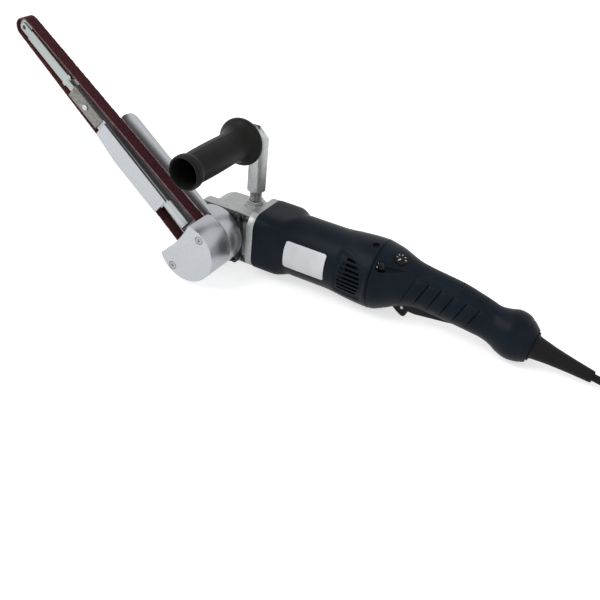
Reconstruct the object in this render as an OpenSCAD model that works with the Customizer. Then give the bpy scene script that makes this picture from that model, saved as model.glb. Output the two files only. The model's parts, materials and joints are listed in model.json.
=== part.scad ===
// Belt power file: a hand-held motor body, a right-angle gear head and a long belt arm.
// Built about the point where the motor axis crosses the spindle axis: X runs back along the
// motor, -Y is the side that the spindle points to, Z is up. Sizes are in millimetres.

/* [Belt] */
// Width of the abrasive belt
belt_width = 13; // [11:0.5:14]
// Thickness of the abrasive belt
belt_thickness = 1; // [0.6:0.1:1.4]
// Distance between the drive wheel's centre and the idler's centre
wheel_centres = 264; // [258:1:275]
// Diameter of the drive wheel over its tyre
drive_wheel_d = 35; // [33:0.5:36]
// Diameter of the idler roller
idler_d = 16; // [14:0.5:16.5]
// Distance from the motor axis to the middle of the belt
belt_offset = 56; // [55:0.5:57]
// Angle of the arm above the motor axis
arm_angle = 38.6; // [32:0.1:44]

/* [Drive head] */
// Diameter of the drive cover and the clamp ring
cover_d = 60; // [58:0.5:64]
// Distance from the motor axis to the cover's front face
cover_front = 82.5; // [80:0.5:86]
// Length of the drive cover
cover_length = 32; // [30:0.5:33]
// Side wall of the drive cover
cover_wall = 3; // [2:0.25:4]
// Front wall of the drive cover
cover_face = 4; // [3:0.25:6]
// Distance from the spindle to the cover's open side
cover_chord = 16.5; // [14:0.5:18]
// Diameter of the collar that the clamp ring turns on
collar_d = 42; // [40:0.5:44]
// Thickness of the back guard plate
back_plate_t = 4; // [3:0.25:5]
// Reach of the back guard plate along the arm
back_plate_reach = 141; // [120:1:146]
// Rise of the back guard plate above the arm's middle line
back_plate_rise = 27; // [24:0.5:29]
// Fall of the back guard plate below the arm's middle line
back_plate_fall = 21; // [18:0.5:24]

/* [Arm] */
// Distance from the spindle to the start of the arm bar
bar_start = 22; // [20.5:0.5:24]
// Distance from the spindle to the front end of the arm bar
bar_end = 189.5; // [186:0.5:191]
// Height of the arm bar
bar_height = 13; // [11:0.5:14]
// Distance from the spindle to the start of the arm guard
guard_start = 51; // [45:0.5:54]
// Distance from the spindle to the front end of the arm guard
guard_end = 144.5; // [140:0.5:146]
// Thickness of the arm guard
guard_t = 3; // [2:0.25:4]
// Thickness of the guide plate
guide_t = 1.5; // [1:0.25:2]
// Width of the contact arm's sliding tongue
tongue_w = 7; // [6:0.25:8]
// Depth of the contact arm's sliding tongue
tongue_depth = 10; // [8:0.25:11]
// Distance from the spindle to the contact arm's shoulder
shoulder_start = 197; // [196:0.5:200]
// Height of the contact arm
contact_height = 10.4; // [9:0.2:12]
// Thickness of each fork plate
fork_t = 1.5; // [1:0.1:1.6]
// Travel of the contact arm when a belt is changed
slide_travel = 5; // [3:0.5:5]

/* [Gear head] */
// Half width of the gear head's rear flange
flange_half = 29.5; // [29:0.25:30]
// Corner radius of the rear flange
flange_corner = 14; // [13:0.5:15]
// Distance from the spindle to the rear flange
flange_start = 34; // [33:0.5:35]
// Thickness of the rear flange
flange_t = 7; // [6:0.5:8]
// Radius of the gear head's rounded front
gear_front_r = 27; // [26.5:0.25:28]
// Distance from the motor axis to the gear head's open face
gear_face = 24; // [23:0.5:25]
// Distance from the motor axis to the gear head's closed back
gear_back = 20; // [19:0.5:23]
// Half width of the bearing plate
bearing_plate_half = 27; // [26:0.25:27.5]
// Thickness of the bearing plate
bearing_plate_t = 6; // [5:0.25:7]
// Diameter of the spindle
spindle_d = 12; // [10:0.5:13]
// Outer diameter of the ball bearings in the gear head
gear_bearing_d = 32; // [30:0.5:33]
// Width of the ball bearings in the gear head
gear_bearing_w = 10; // [9:0.5:10.5]
// Teeth of the bevel pinion
pinion_teeth = 11; // [11:1:11]
// Teeth of the bevel gear
gear_teeth = 33; // [33:1:33]
// Module of the bevel teeth at their large end
tooth_module = 1.36; // [1.3:0.01:1.4]

/* [Motor] */
// Half width of the housing's square front
hump_half = 30; // [29.5:0.25:32]
// Distance from the spindle to the end of the square front
hump_end = 76; // [72:0.5:77]
// Radius of the motor housing's tube
tube_r = 31; // [30:0.25:32]
// Radius of the motor housing's wide rear end
rear_r = 34.3; // [33:0.1:36]
// Distance from the spindle to the joint between housing and handle
seam_x = 168; // [166:0.5:172]
// Wall of the motor housing
housing_wall = 3; // [2.5:0.25:3.5]
// Number of cooling slots on each side
vent_count = 8; // [4:1:8]
// Diameter of the armature shaft
shaft_d = 12; // [10:0.5:13]
// Diameter of the armature core
armature_d = 36; // [32:0.5:37]
// Diameter of the cooling fan
fan_d = 51; // [46:0.5:52]
// Diameter of the commutator
commutator_d = 24; // [20:0.5:26]

/* [Rear handle] */
// Length of the rear handle
handle_length = 153.5; // [145:0.5:165]
// Radius of the rear handle where it meets the housing
handle_r = 34.2; // [32:0.1:36]
// Drop of the pommel below the motor axis
pommel_drop = 12.3; // [10:0.1:14]
// Wall of the handle shells
handle_wall = 3; // [2.5:0.25:3.5]
// Width of the paddle switch
paddle_w = 16; // [14:0.5:18]
// Width of the lock-off catch
catch_w = 8; // [6:0.5:9]
// Diameter of the speed dial
dial_d = 12.8; // [11:0.2:13.5]
// Length of the cord boot
boot_length = 58; // [45:0.5:60]
// Diameter of the boot at the handle
boot_d = 21; // [19:0.5:22]
// Diameter of the boot at its end
boot_end_d = 13; // [11:0.5:15]

/* [Side handle] */
// Distance from the spindle to the stud
stud_x = 25; // [24:0.25:26]
// Diameter of the stud
stud_d = 12; // [10:0.5:13]
// Width of the bracket's six-sided bar across its flats
bracket_w = 18; // [17:0.25:19]
// Height of the bracket's lower end above the motor axis
bracket_low = 43; // [40:0.5:46]
// Height of the bracket's near top edge above the motor axis
bracket_top = 114.5; // [113:0.5:118]
// Length of the bracket's arm toward the side grip
bracket_arm = 21; // [18:0.5:24]
// Height of the side grip's axis above the motor axis
grip_z = 105; // [103:0.5:106]
// Length of the side grip
grip_length = 93; // [85:0.5:105]
// Radius of the side grip's flange
grip_flange_r = 22.4; // [20:0.2:24]
// Radius of the side grip's barrel
grip_r = 14.6; // [14:0.2:17]
// Radius of the hollow in the side grip
grip_bore_r = 12.5; // [11:0.25:13]

/* [Cord] */
// Diameter of the mains cord
cord_d = 7; // [6:0.5:8]
// Turns in each layer of the stored coil
coil_turns = 2.5; // [1.5:1:2.5]
// Distance from one turn of the coil to the next
coil_pitch = 7.6; // [7.6:0.1:9]
// Radius of the coil's outermost turn
coil_r = 48; // [48:0.5:54]

/* [Hidden] */
$fn = 64;
overrun = 1;
seat_gap = 0.05;
slot_gap = 0.15;
run_gap = 0.03;
body_gap = 0.3;
belt_gap = 0.1;
thread_gap = 0.05;

// Stations of the rear handle: share of the length, half width, half height and drop.
handle_station_shares = [
    [0, 1, 1, 0], [0.029, 0.965, 0.965, 0], [0.095, 0.863, 0.877, -0.122],
    [0.154, 0.731, 0.766, -0.203], [0.215, 0.629, 0.678, -0.211], [0.284, 0.561, 0.629, -0.187],
    [0.407, 0.538, 0.611, -0.041], [0.526, 0.526, 0.599, 0.122], [0.644, 0.503, 0.564, 0.39],
    [0.71, 0.491, 0.544, 0.57], [0.762, 0.509, 0.55, 0.8], [0.814, 0.594, 0.614, 0.965],
    [0.873, 0.672, 0.678, 1], [0.932, 0.629, 0.632, 1.098], [0.977, 0.497, 0.506, 1.3],
    [1.035, 0.33, 0.34, 1.45]];

// Where the stored frame lies: the box's middle in plan, its underside at zero.
idler_out_r = idler_d / 2 + belt_gap + belt_thickness;
front_x = -wheel_centres * cos(arm_angle) - idler_out_r;
boot_tilt = 9;
collar_x = seam_x + handle_length;
collar_drop_share = 1.39;
collar_z = -pommel_drop * collar_drop_share;
back_x = collar_x + boot_length * cos(boot_tilt) + boot_end_d / 2 * sin(boot_tilt);
near_y = -bracket_w / 2 - bracket_arm - body_gap - grip_length;
far_y = max(rear_r, handle_r);
mid_x = (front_x + back_x) / 2;
mid_y = (near_y + far_y) / 2;
low_z = min([for (s = handle_station_shares) -s[3] * pommel_drop - s[2] * handle_r]);

// Planes of the drive head, measured from the motor axis toward -Y.
belt_near = belt_offset + belt_width / 2;
belt_far = belt_offset - belt_width / 2;
belt_side_gap = 1;
back_plate_front = belt_far - belt_side_gap;
cover_seam = cover_front - cover_length;
clamp_back = gear_face + bearing_plate_t + body_gap;
collar_length = 14;
collar_end = clamp_back + collar_length;
bar_near = belt_near + belt_side_gap / 2;
bar_depth = bar_near - back_plate_front;
channel_floor = bar_near - tongue_depth;
tongue_near = bar_near - seat_gap;
fork_half = 5.7;
roller_half = fork_half - fork_t - body_gap;

// Fasteners of the drive head and the arm.
small_screw_d = 4;
small_head_d = 7.6;
small_head_h = 2.2;
cover_boss_gap = 0.8;
cover_boss_share = 0.434;
wheel_clear_r = drive_wheel_d / 2 + belt_gap + belt_thickness + cover_boss_gap;
cover_boss_r = (cover_d / 2 - wheel_clear_r) * cover_boss_share;
cover_screw_v = wheel_clear_r + cover_boss_r;
thread_end = 1;
screw_tip_gap = 0.7;
cover_screw_bite = cover_seam - collar_end - screw_tip_gap;
chord_bow_r = 116;
chord_bow = 2.5;
clamp_slit = 2;
clamp_screw_u = (cover_d + collar_d) / 4;
clamp_screw_reach = 12;
clamp_head_h = 3.4;
clamp_head_d = 6.6;
clamp_screw_depth = (clamp_back + cover_seam) / 2;
arm_screw_lead = 36;
arm_screw_pitch = 10;
arm_screw_us = [for (k = [0, 1]) bar_start + arm_screw_lead + k * arm_screw_pitch];
guard_inset = 1;
guide_lead = 4;
guide_lip = 1;
guide_start = guard_end + guide_lead;
guide_screw_u = (guide_start + bar_end) / 2;
guide_screw_d = 3;
guide_head_d = 5.6;
guide_head_h = 1.4;
guide_screw_bite = 2.2;
spring_d = tongue_w - 2 * body_gap;
spring_wire = 1;
channel_lead = 53;
spring_start = bar_start + channel_lead;
tongue_length = 72;
tongue_end = shoulder_start - tongue_length;
idler_pin_d = 4;
fork_half_height = 4;
fork_nose = 4.6;
roller_gap = 1;
fork_root = wheel_centres - idler_d / 2 - roller_gap;
shoe_length = 3.5;
shoe_lead = 2;

// Gear head insides.
gear_cavity_r = 24;
gear_cavity_back = 8;
gear_block_back = 12;
pinion_cavity_r = 13;
shaft_bearing_x = 26;
flange_recess_r = 20;
bush_d = 16;
bush_w = 9;
bush_start = 9;
bush_boss_wall = 6;
bearing_lip = 3;
bearing_step = 2;
gear_plate_corner = 9;
plate_screw_d = 5;
plate_screw_head_d = 8.5;
plate_screw_head_h = 4;
plate_screw_x = 21.5;
plate_screw_z = 23;
plate_screw_length = 12;
socket_share = 0.8;
corner_share = 1.15;
flange_screw_at = 22;
flange_screw_d = 4;
flange_screw_head_d = 7;
flange_screw_head_h = 3.5;
flange_screw_length = 22;
flange_pocket_d = 8.6;
flange_pocket_length = 8;
stud_boss_d = 22;
stud_boss_top = 29.5;
stud_bite = 10;
stud_up = 14;
stud_nut_w = 16;
stud_nut_h = 3.6;
spindle_bearing_near = gear_face + bearing_step;
wheel_w = 15;
tyre_t = 3;
hub_d = drive_wheel_d - 2 * tyre_t;
spindle_step = 1;
spindle_nose_d = spindle_d - 2 * spindle_step;
wheel_near = belt_offset + wheel_w / 2;
wheel_nut_w = 19;
wheel_nut_h = 7;
tooth_face = 7;
pressure_angle = 20;
addendum_share = 0.9;
dedendum_share = 1.2;
backlash_share = 0.07;
flank_steps = 3;
gear_hub_r = 15;
gear_hub_end = 14;
pinion_hub_r = 5;
pinion_bore_d = 6;
belt_steps = 28;

// Motor insides, as distances from the spindle along the motor.
housing_face = flange_start + flange_t;
hump_corner = 14;
flare_start = 122;
flare_end = 154;
boss_r = 4;
boss_length = 20;
fan_gap = 2;
fan_x = housing_face + fan_gap;
fan_disc_t = 2;
fan_w = 11;
fan_hub_d = 18;
fan_blades = 10;
fan_blade_t = 1.6;
stator_lead = 5;
stator_x = hump_end + stator_lead;
stator_length = 40;
air_gap = 0.7;
stator_bore_r = armature_d / 2 + air_gap;
coil_pocket_r = 24;
coil_angle = 64;
coil_slack_angle = 1;
coil_overhang = 4;
armature_inset = 2;
armature_x = stator_x + armature_inset;
armature_length = stator_length - 2 * armature_inset;
armature_slots = 12;
armature_slot_w = 2.4;
armature_slot_depth = 5;
commutator_x = stator_x + stator_length + stator_lead;
commutator_w = 11;
brush_inset = 1;
brush_x = commutator_x + brush_inset;
brush_w = 8;
brush_h = 6;
brush_length = 11;
holder_wall = 1;
holder_end = 26;
holder_gap = 2;
holder_start = commutator_d / 2 + holder_gap;
bracket_x = commutator_x + commutator_w + brush_inset;
bracket_disc_t = 4;
bracket_disc_r = lookup(bracket_x, [[flare_start, tube_r], [flare_end, rear_r]]) - housing_wall - slot_gap;
rear_bearing_d = 22;
rear_bearing_w = 7;
rear_bore_d = 8;
rear_cup_wall = 2.5;
pinion_shank = 10;
shaft_step = 1;
vent_x = 136;
vent_length = 24;
vent_h = 2.6;
vent_pitch = 4.4;
vent_low = -13;
label_lead = 3;
label_x = hump_end + label_lead;
label_length = 43;
label_t = 0.6;
label_low_angle = -19;
label_angle = 50;

handle_sides = 32;

// Paddle switch, catch, dial and the pieces under them.
paddle_lead = 24;
paddle_length = 62;
paddle_front = seam_x + paddle_lead;
paddle_back = paddle_front + paddle_length;
paddle_top = 9.5;
paddle_low = 23.6;
paddle_rise = 4.5;
paddle_bow = 1;
paddle_end_gap = 1;
paddle_room = 4.5;
paddle_pin_inset = 5;
paddle_slot_gap = 0.4;
paddle_pin_x = paddle_back - paddle_pin_inset;
paddle_pin_z = -14.5;
paddle_pin_d = 4;
catch_pin_inset = 5;
catch_pin_x = paddle_front + catch_pin_inset;
catch_pin_z = -22.5;
catch_pin_d = 3;
catch_slot_length = 14;
catch_slot_x = paddle_front + catch_slot_length;
catch_eye_r = 4.2;
switch_lead = 46;
switch_x = seam_x + switch_lead;
switch_length = 34;
switch_half = 13;
switch_low = -6;
switch_high = 6;
dial_lead = 19;
dial_x = seam_x + dial_lead;
dial_boss_wall = 2.5;
dial_roll = 17;
dial_pitch = 22;
dial_seat = 26;
dial_t = 4.6;
dial_stem_d = 4;
dial_stem = 6;
dial_knurls = 24;
dial_knurl_r = 0.4;
module_half = 4.5;
module_h = 8;
handle_screw_d = 4;
handle_screw_head_d = 7.5;
handle_screw_head_h = 3;
handle_boss_r = 4.5;
screw_lead = 7;
screw_before = 3;
screw_behind = 13;
screw_last = 23.5;
screw_xs = [
    seam_x + screw_lead, switch_x - screw_before, switch_x + switch_length + screw_behind,
    collar_x - screw_last];
screw_height_shares = [0.66, 0.43, 0.42, 0.34];
screw_sides = [1, -1, -1, -1];
screw_depth = 8;
boot_flange_r = 13;
boot_flange_t = 3;
boot_flange_back = 7;
boot_shares = [[0.5, 0.1], [0.42, 0.32], [0.372, 0.65]];

// Side handle.
bracket_slope_share = 1.6;
bracket_arm_r = 7;
grip_bolt_d = 8;
grip_bolt_bite = 15;
grip_flange_edge = 1.2;
grip_flange_share = 0.075;
grip_shares = [
    [1.22, 0.13], [1.05, 0.2], [0.98, 0.32], [1, 0.6], [0.97, 0.86], [1.08, 0.91], [1.09, 0.97], [1.04, 1]];
bolt_head_share = 1.6;
grip_socket_share = 0.42;

// Cord route from the boot to the coil, in the stored frame.
cord_sides = 10;
coil_sides = 6;
coil_steps = 24;
coil_layers = 4;
coil_rise = 7.6;
tie_t = 1.2;
tie_w = 14;
tie_gap = 0.5;
tie_angle = 200;
coil_lift = 0.2;
coil_base = tie_t + cord_d / 2 + coil_lift;
boot_end = [
    collar_x + boot_length * cos(boot_tilt) - mid_x, -mid_y,
    collar_z - boot_length * sin(boot_tilt) - low_z];
coil_x = 375;
lead_xz = [[318, 6], [332, 5], [346, 4.9], [360, 4.9]];
cord_y = -mid_y;
lead_points = concat(
    [boot_end, boot_end + cord_d * [cos(boot_tilt), 0, -sin(boot_tilt)]],
    [for (p = lead_xz) [p[0], cord_y, p[1]]], [[coil_x, cord_y, coil_base]]);
tail_xs = [16, 26, 36];
tail_dip = 1.4;
plug_gap = 46;
plug_length = 34;
plug_r = 17;
plug_neck_r = 7;
plug_neck = 16;
plug_mouth_share = 0.8;
pin_d = 4.8;
pin_root_d = 4;
pin_length = 19;
pin_spread = 19;

back_plate_corner = 12;
shoe_rise = 1.6;
spring_turns = 11;
spring_steps = 12;
guard_slope = 4.5;
screw_inset = 4.5;
catch_clear = 13;
catch_clear_x = seam_x + catch_clear;
paddle_slot_top = -paddle_top + paddle_room;
catch_reach = 13;
catch_claw_shares = [
    [-0.32, 0.05], [-0.95, -0.42], [-0.98, -0.55], [-0.66, -0.7], [-0.1, -0.94], [0.08, -0.9],
    [0.2, -0.5], [0.32, 0.05]];

// Moves a piece from the motor's axes into the stored frame.
module placed() {
    translate([-mid_x, -mid_y, -low_z]) children();
}

// Stands a drawing square to the motor, growing backward from the given distance.
module along_x(x) {
    translate([x, 0, 0]) rotate([0, 90, 0]) children();
}

// Stands a drawing square to the spindle, growing toward its nose from the given distance.
module toward_nose(d) {
    translate([0, -d, 0]) rotate([90, 0, 0]) children();
}

// Arm drawing: x along the arm, y up from its middle line, growing away from the nose.
module on_arm(d) {
    rotate([0, 180 + arm_angle, 0]) rotate([-90, 0, 0]) translate([0, 0, -d]) children();
}

module rounded_square(half, r) {
    square([2 * half, 2 * (half - r)], center = true);
    square([2 * (half - r), 2 * half], center = true);
    for (sx = [-1, 1], sy = [-1, 1]) {
        translate([sx * (half - r), sy * (half - r)]) circle(r);
    }
}

// Disc with a bore, growing along the drawing's own axis.
module ring(outer_r, bore_r, h) {
    difference() {
        cylinder(r = outer_r, h = h);
        translate([0, 0, -overrun]) cylinder(r = bore_r, h = h + 2 * overrun);
    }
}

// Cap screw standing on its head's underside, its shank pointing down.
module cap_screw(d, length, head_d, head_h) {
    translate([0, 0, -length]) cylinder(d = d, h = length + seat_gap);
    difference() {
        cylinder(d = head_d, h = head_h);
        translate([0, 0, head_h / 2]) cylinder(d = d * socket_share, h = head_h, $fn = 6);
    }
}

// Faces of a tube through m rings of n points, closed at both ends.
function tube_faces(m, n) = concat(
    [[for (i = [0 : n - 1]) i]],
    [[for (i = [n - 1 : -1 : 0]) (m - 1) * n + i]],
    [for (k = [0 : m - 2], i = [0 : n - 1])
        [(k + 1) * n + i, (k + 1) * n + (i + 1) % n, k * n + (i + 1) % n]],
    [for (k = [0 : m - 2], i = [0 : n - 1])
        [(k + 1) * n + i, k * n + (i + 1) % n, k * n + i]]);

module tube(rings) {
    n = len(rings[0]);
    polyhedron(points = [for (r = rings, p = r) p], faces = tube_faces(len(rings), n));
}

function unit(v) = v / norm(v);

// Gear head: the cast housing that turns the drive through a right angle.
module gear_housing() {
    color([0.69, 0.7, 0.69]) placed() difference() {
        union() {
            toward_nose(-gear_block_back) linear_extrude(gear_face + gear_block_back) {
                circle(gear_front_r);
                translate([0, -gear_front_r]) square([flange_start, 2 * gear_front_r]);
            }
            toward_nose(gear_block_back) linear_extrude(gear_face - gear_block_back)
                rounded_square(bearing_plate_half, gear_plate_corner);
            toward_nose(-gear_back) cylinder(d = bush_d + 2 * bush_boss_wall, h = gear_back);
            along_x(flange_start) linear_extrude(flange_t) rounded_square(flange_half, flange_corner);
            translate([stud_x, 0, -stud_boss_top]) cylinder(d = stud_boss_d, h = 2 * stud_boss_top);
        }
        toward_nose(-gear_cavity_back)
            cylinder(r = gear_cavity_r, h = gear_face + gear_cavity_back + overrun);
        along_x(0) cylinder(r = pinion_cavity_r, h = shaft_bearing_x + overrun);
        along_x(shaft_bearing_x) cylinder(d = gear_bearing_d + seat_gap, h = flange_start);
        along_x(shaft_bearing_x + gear_bearing_w) cylinder(r = flange_recess_r, h = flange_start);
        toward_nose(-bush_start - bush_w) cylinder(d = bush_d + seat_gap, h = bush_start + bush_w);
        for (sx = [-1, 1], sz = [-1, 1]) {
            translate([sx * plate_screw_x, 0, sz * plate_screw_z]) toward_nose(gear_face - plate_screw_length)
                cylinder(d = plate_screw_d + thread_gap, h = plate_screw_length + overrun);
        }
        for (sy = [-1, 1], sz = [-1, 1]) {
            translate([0, sy * flange_screw_at, sz * flange_screw_at]) {
                along_x(flange_start - overrun)
                    cylinder(d = flange_screw_d + thread_gap, h = flange_t + 2 * overrun);
                along_x(flange_start - flange_pocket_length)
                    cylinder(d = flange_pocket_d, h = flange_pocket_length);
            }
        }
        translate([stud_x, 0, stud_boss_top - stud_bite])
            cylinder(d = stud_d + thread_gap, h = stud_bite + overrun);
        translate([stud_x, 0, -stud_boss_top - overrun])
            cylinder(d = stud_d + thread_gap, h = stud_bite + overrun);
    }
}

// Plate that closes the gear head and carries the spindle bearing and the clamp collar.
module bearing_plate() {
    color([0.2, 0.22, 0.22]) placed() difference() {
        union() {
            toward_nose(gear_face) linear_extrude(bearing_plate_t)
                rounded_square(bearing_plate_half, gear_plate_corner);
            toward_nose(gear_face) cylinder(d = collar_d, h = collar_end - gear_face);
        }
        toward_nose(gear_face - overrun)
            cylinder(d = gear_bearing_d - 2 * bearing_lip, h = collar_end - gear_face + 2 * overrun);
        toward_nose(spindle_bearing_near)
            cylinder(d = gear_bearing_d + seat_gap, h = collar_end - spindle_bearing_near + overrun);
        for (sx = [-1, 1], sz = [-1, 1]) {
            translate([sx * plate_screw_x, 0, sz * plate_screw_z]) {
                toward_nose(gear_face - overrun)
                    cylinder(d = plate_screw_d + thread_gap, h = bearing_plate_t + 2 * overrun);
                toward_nose(gear_face + bearing_plate_t - plate_screw_head_h)
                    cylinder(d = plate_screw_head_d + 2 * body_gap, h = plate_screw_head_h + overrun);
            }
        }
    }
}

module bearing_plate_screws() {
    color([0.3, 0.31, 0.32]) placed() for (sx = [-1, 1], sz = [-1, 1]) {
        translate([sx * plate_screw_x, 0, sz * plate_screw_z])
            toward_nose(gear_face + bearing_plate_t - plate_screw_head_h)
            cap_screw(plate_screw_d, plate_screw_length, plate_screw_head_d, plate_screw_head_h - seat_gap);
    }
}

module spindle_bearing() {
    color([0.7, 0.71, 0.73]) placed() toward_nose(spindle_bearing_near + seat_gap)
        ring(gear_bearing_d / 2, spindle_d / 2 + run_gap, gear_bearing_w);
}

module spindle_bush() {
    color([0.62, 0.48, 0.28]) placed() toward_nose(-bush_start - bush_w + seat_gap)
        ring(bush_d / 2, spindle_d / 2 + run_gap, bush_w - seat_gap);
}

module flange_screws() {
    color([0.3, 0.31, 0.32]) placed() for (sy = [-1, 1], sz = [-1, 1]) {
        translate([flange_start, sy * flange_screw_at, sz * flange_screw_at]) rotate([0, -90, 0])
            cap_screw(flange_screw_d, flange_screw_length, flange_screw_head_d, flange_screw_head_h);
    }
}

// Plastic motor housing: square front, round tube and flared, vented rear.
module motor_housing() {
    inner_r = tube_r - housing_wall;
    color([0.1, 0.12, 0.16]) placed() difference() {
        union() {
            difference() {
                union() {
                    along_x(housing_face) linear_extrude(hump_end - housing_face)
                        rounded_square(hump_half, hump_corner);
                    along_x(0) rotate_extrude() polygon([
                        [0, hump_end - housing_wall], [tube_r, hump_end - housing_wall],
                        [tube_r, flare_start], [rear_r, flare_end], [rear_r, seam_x], [0, seam_x]]);
                }
                along_x(housing_face - overrun)
                    linear_extrude(hump_end - housing_face - housing_wall + overrun)
                    rounded_square(hump_half - housing_wall, hump_corner - housing_wall);
                along_x(0) rotate_extrude() polygon([
                    [0, housing_face], [inner_r, housing_face], [inner_r, flare_start],
                    [rear_r - housing_wall, flare_end], [rear_r - housing_wall, seam_x + overrun],
                    [0, seam_x + overrun]]);
            }
            intersection() {
                along_x(housing_face) linear_extrude(boss_length) rounded_square(hump_half, hump_corner);
                for (sy = [-1, 1], sz = [-1, 1]) {
                    translate([0, sy * flange_screw_at, sz * flange_screw_at]) along_x(housing_face)
                        cylinder(r = boss_r, h = boss_length);
                }
            }
        }
        for (sy = [-1, 1], sz = [-1, 1]) {
            translate([0, sy * flange_screw_at, sz * flange_screw_at]) along_x(housing_face - overrun)
                cylinder(d = flange_screw_d + thread_gap, h = flange_screw_length);
        }
        for (side = [-1, 1], i = [0 : vent_count - 1]) {
            translate([vent_x, side * rear_r - tube_r / 2, vent_low + i * vent_pitch])
                cube([vent_length, tube_r, vent_h]);
        }
    }
}

// Sector of a ring about the motor axis, its middle at the given angle from straight up.
module sector(inner_r, outer_r, middle, spread, h) {
    rotate([0, 0, 180 - middle - spread / 2]) rotate_extrude(angle = spread)
        translate([inner_r, 0]) square([outer_r - inner_r, h]);
}

module stator_core() {
    color([0.45, 0.46, 0.48]) placed() difference() {
        along_x(stator_x) ring(tube_r - housing_wall - seat_gap, stator_bore_r, stator_length);
        for (middle = [0, 180]) {
            along_x(stator_x - overrun)
                sector(stator_bore_r - overrun, coil_pocket_r, middle, coil_angle,
                    stator_length + 2 * overrun);
        }
    }
}

module field_coils() {
    color([0.62, 0.36, 0.18]) placed() for (middle = [0, 180]) {
        along_x(stator_x - coil_overhang) sector(stator_bore_r + body_gap, coil_pocket_r - seat_gap,
            middle, coil_angle - coil_slack_angle, stator_length + 2 * coil_overhang);
    }
}

module front_bearing() {
    color([0.7, 0.71, 0.73]) placed() along_x(shaft_bearing_x + seat_gap)
        ring(gear_bearing_d / 2, shaft_d / 2 + run_gap, gear_bearing_w);
}

module rear_bearing() {
    color([0.7, 0.71, 0.73]) placed() along_x(bracket_x + bracket_disc_t + seat_gap)
        ring(rear_bearing_d / 2, rear_bore_d / 2 + run_gap, rear_bearing_w);
}

// Spider that carries the rear bearing and the brush holders inside the housing.
module bearing_bracket() {
    cup_r = rear_bearing_d / 2 + rear_cup_wall;
    color([0.25, 0.26, 0.28]) placed() difference() {
        union() {
            along_x(bracket_x) cylinder(r = bracket_disc_r, h = bracket_disc_t);
            along_x(bracket_x) cylinder(r = cup_r, h = bracket_disc_t + rear_bearing_w);
        }
        along_x(bracket_x - overrun) cylinder(d = rear_bore_d + rear_cup_wall, h = flare_end);
        along_x(bracket_x + bracket_disc_t) cylinder(d = rear_bearing_d + seat_gap, h = flare_end);
        for (turn = [45 : 90 : 315]) {
            along_x(bracket_x - overrun) rotate([0, 0, turn]) translate([cup_r + holder_end / 3, 0, 0])
                cylinder(r = holder_end / 5, h = bracket_disc_t + 2 * overrun);
        }
    }
}

module brush_holders() {
    holder_w = bracket_x - brush_x + holder_wall - seat_gap;
    color([0.66, 0.52, 0.26]) placed() for (side = [-1, 1]) scale([1, side, 1]) difference() {
        translate([brush_x - holder_wall, holder_start, -brush_h / 2 - holder_wall])
            cube([holder_w, holder_end - holder_start, brush_h + 2 * holder_wall]);
        translate([brush_x - seat_gap, 0, -brush_h / 2 - seat_gap])
            cube([brush_w + 2 * seat_gap, holder_end + overrun, brush_h + 2 * seat_gap]);
    }
}

module carbon_brushes() {
    color([0.16, 0.16, 0.17]) placed() for (side = [-1, 1]) scale([1, side, 1])
        translate([brush_x, commutator_d / 2 + body_gap, -brush_h / 2])
        cube([brush_w, brush_length, brush_h]);
}

// Bare rating plate on the housing's side.
module label_plate() {
    color([0.85, 0.86, 0.87]) placed() along_x(label_x)
        sector(tube_r + seat_gap, tube_r + seat_gap + label_t,
            -90 + label_low_angle + label_angle / 2, label_angle, label_length);
}

// Width, height and drop of the handle at a distance along the motor.
function at_share(x) = (x - seam_x) / handle_length;
function half_width_at(x) = handle_r * lookup(at_share(x), [for (s = handle_station_shares) [s[0], s[1]]]);
function half_height_at(x) = handle_r * lookup(at_share(x), [for (s = handle_station_shares) [s[0], s[2]]]);
function drop_at(x) = pommel_drop * lookup(at_share(x), [for (s = handle_station_shares) [s[0], s[3]]]);
function screw_sites() = [for (i = [0 : len(screw_xs) - 1]) let (x = screw_xs[i])
    [x, -drop_at(x) + screw_height_shares[i] * half_height_at(x), screw_sides[i]]];
function side_at(x, z) = half_width_at(x) * sqrt(1 - pow((z + drop_at(x)) / half_height_at(x), 2));

// Solid form of the handle, smaller all round by the inset.
module handle_form(inset, last, lead) {
    tube([for (k = [0 : last]) let (s = handle_station_shares[k])
        [for (i = [0 : handle_sides - 1]) let (t = 360 * i / handle_sides) [
            seam_x + s[0] * handle_length - (k == 0 ? lead : 0),
            (s[1] * handle_r - inset) * cos(t),
            -s[3] * pommel_drop + (s[2] * handle_r - inset) * sin(t)]]]);
}

// Axis of the cord boot, its zero at the handle's end face.
module boot_axis() {
    translate([collar_x, 0, collar_z]) rotate([0, 90 + boot_tilt, 0]) children();
}

// Plane frame of the speed dial, its zero at the dial's underside.
module dial_axis() {
    translate([dial_x, 0, 0]) rotate([dial_roll, 0, 0]) translate([0, 0, dial_seat])
        rotate([0, dial_pitch, 0]) children();
}

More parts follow.
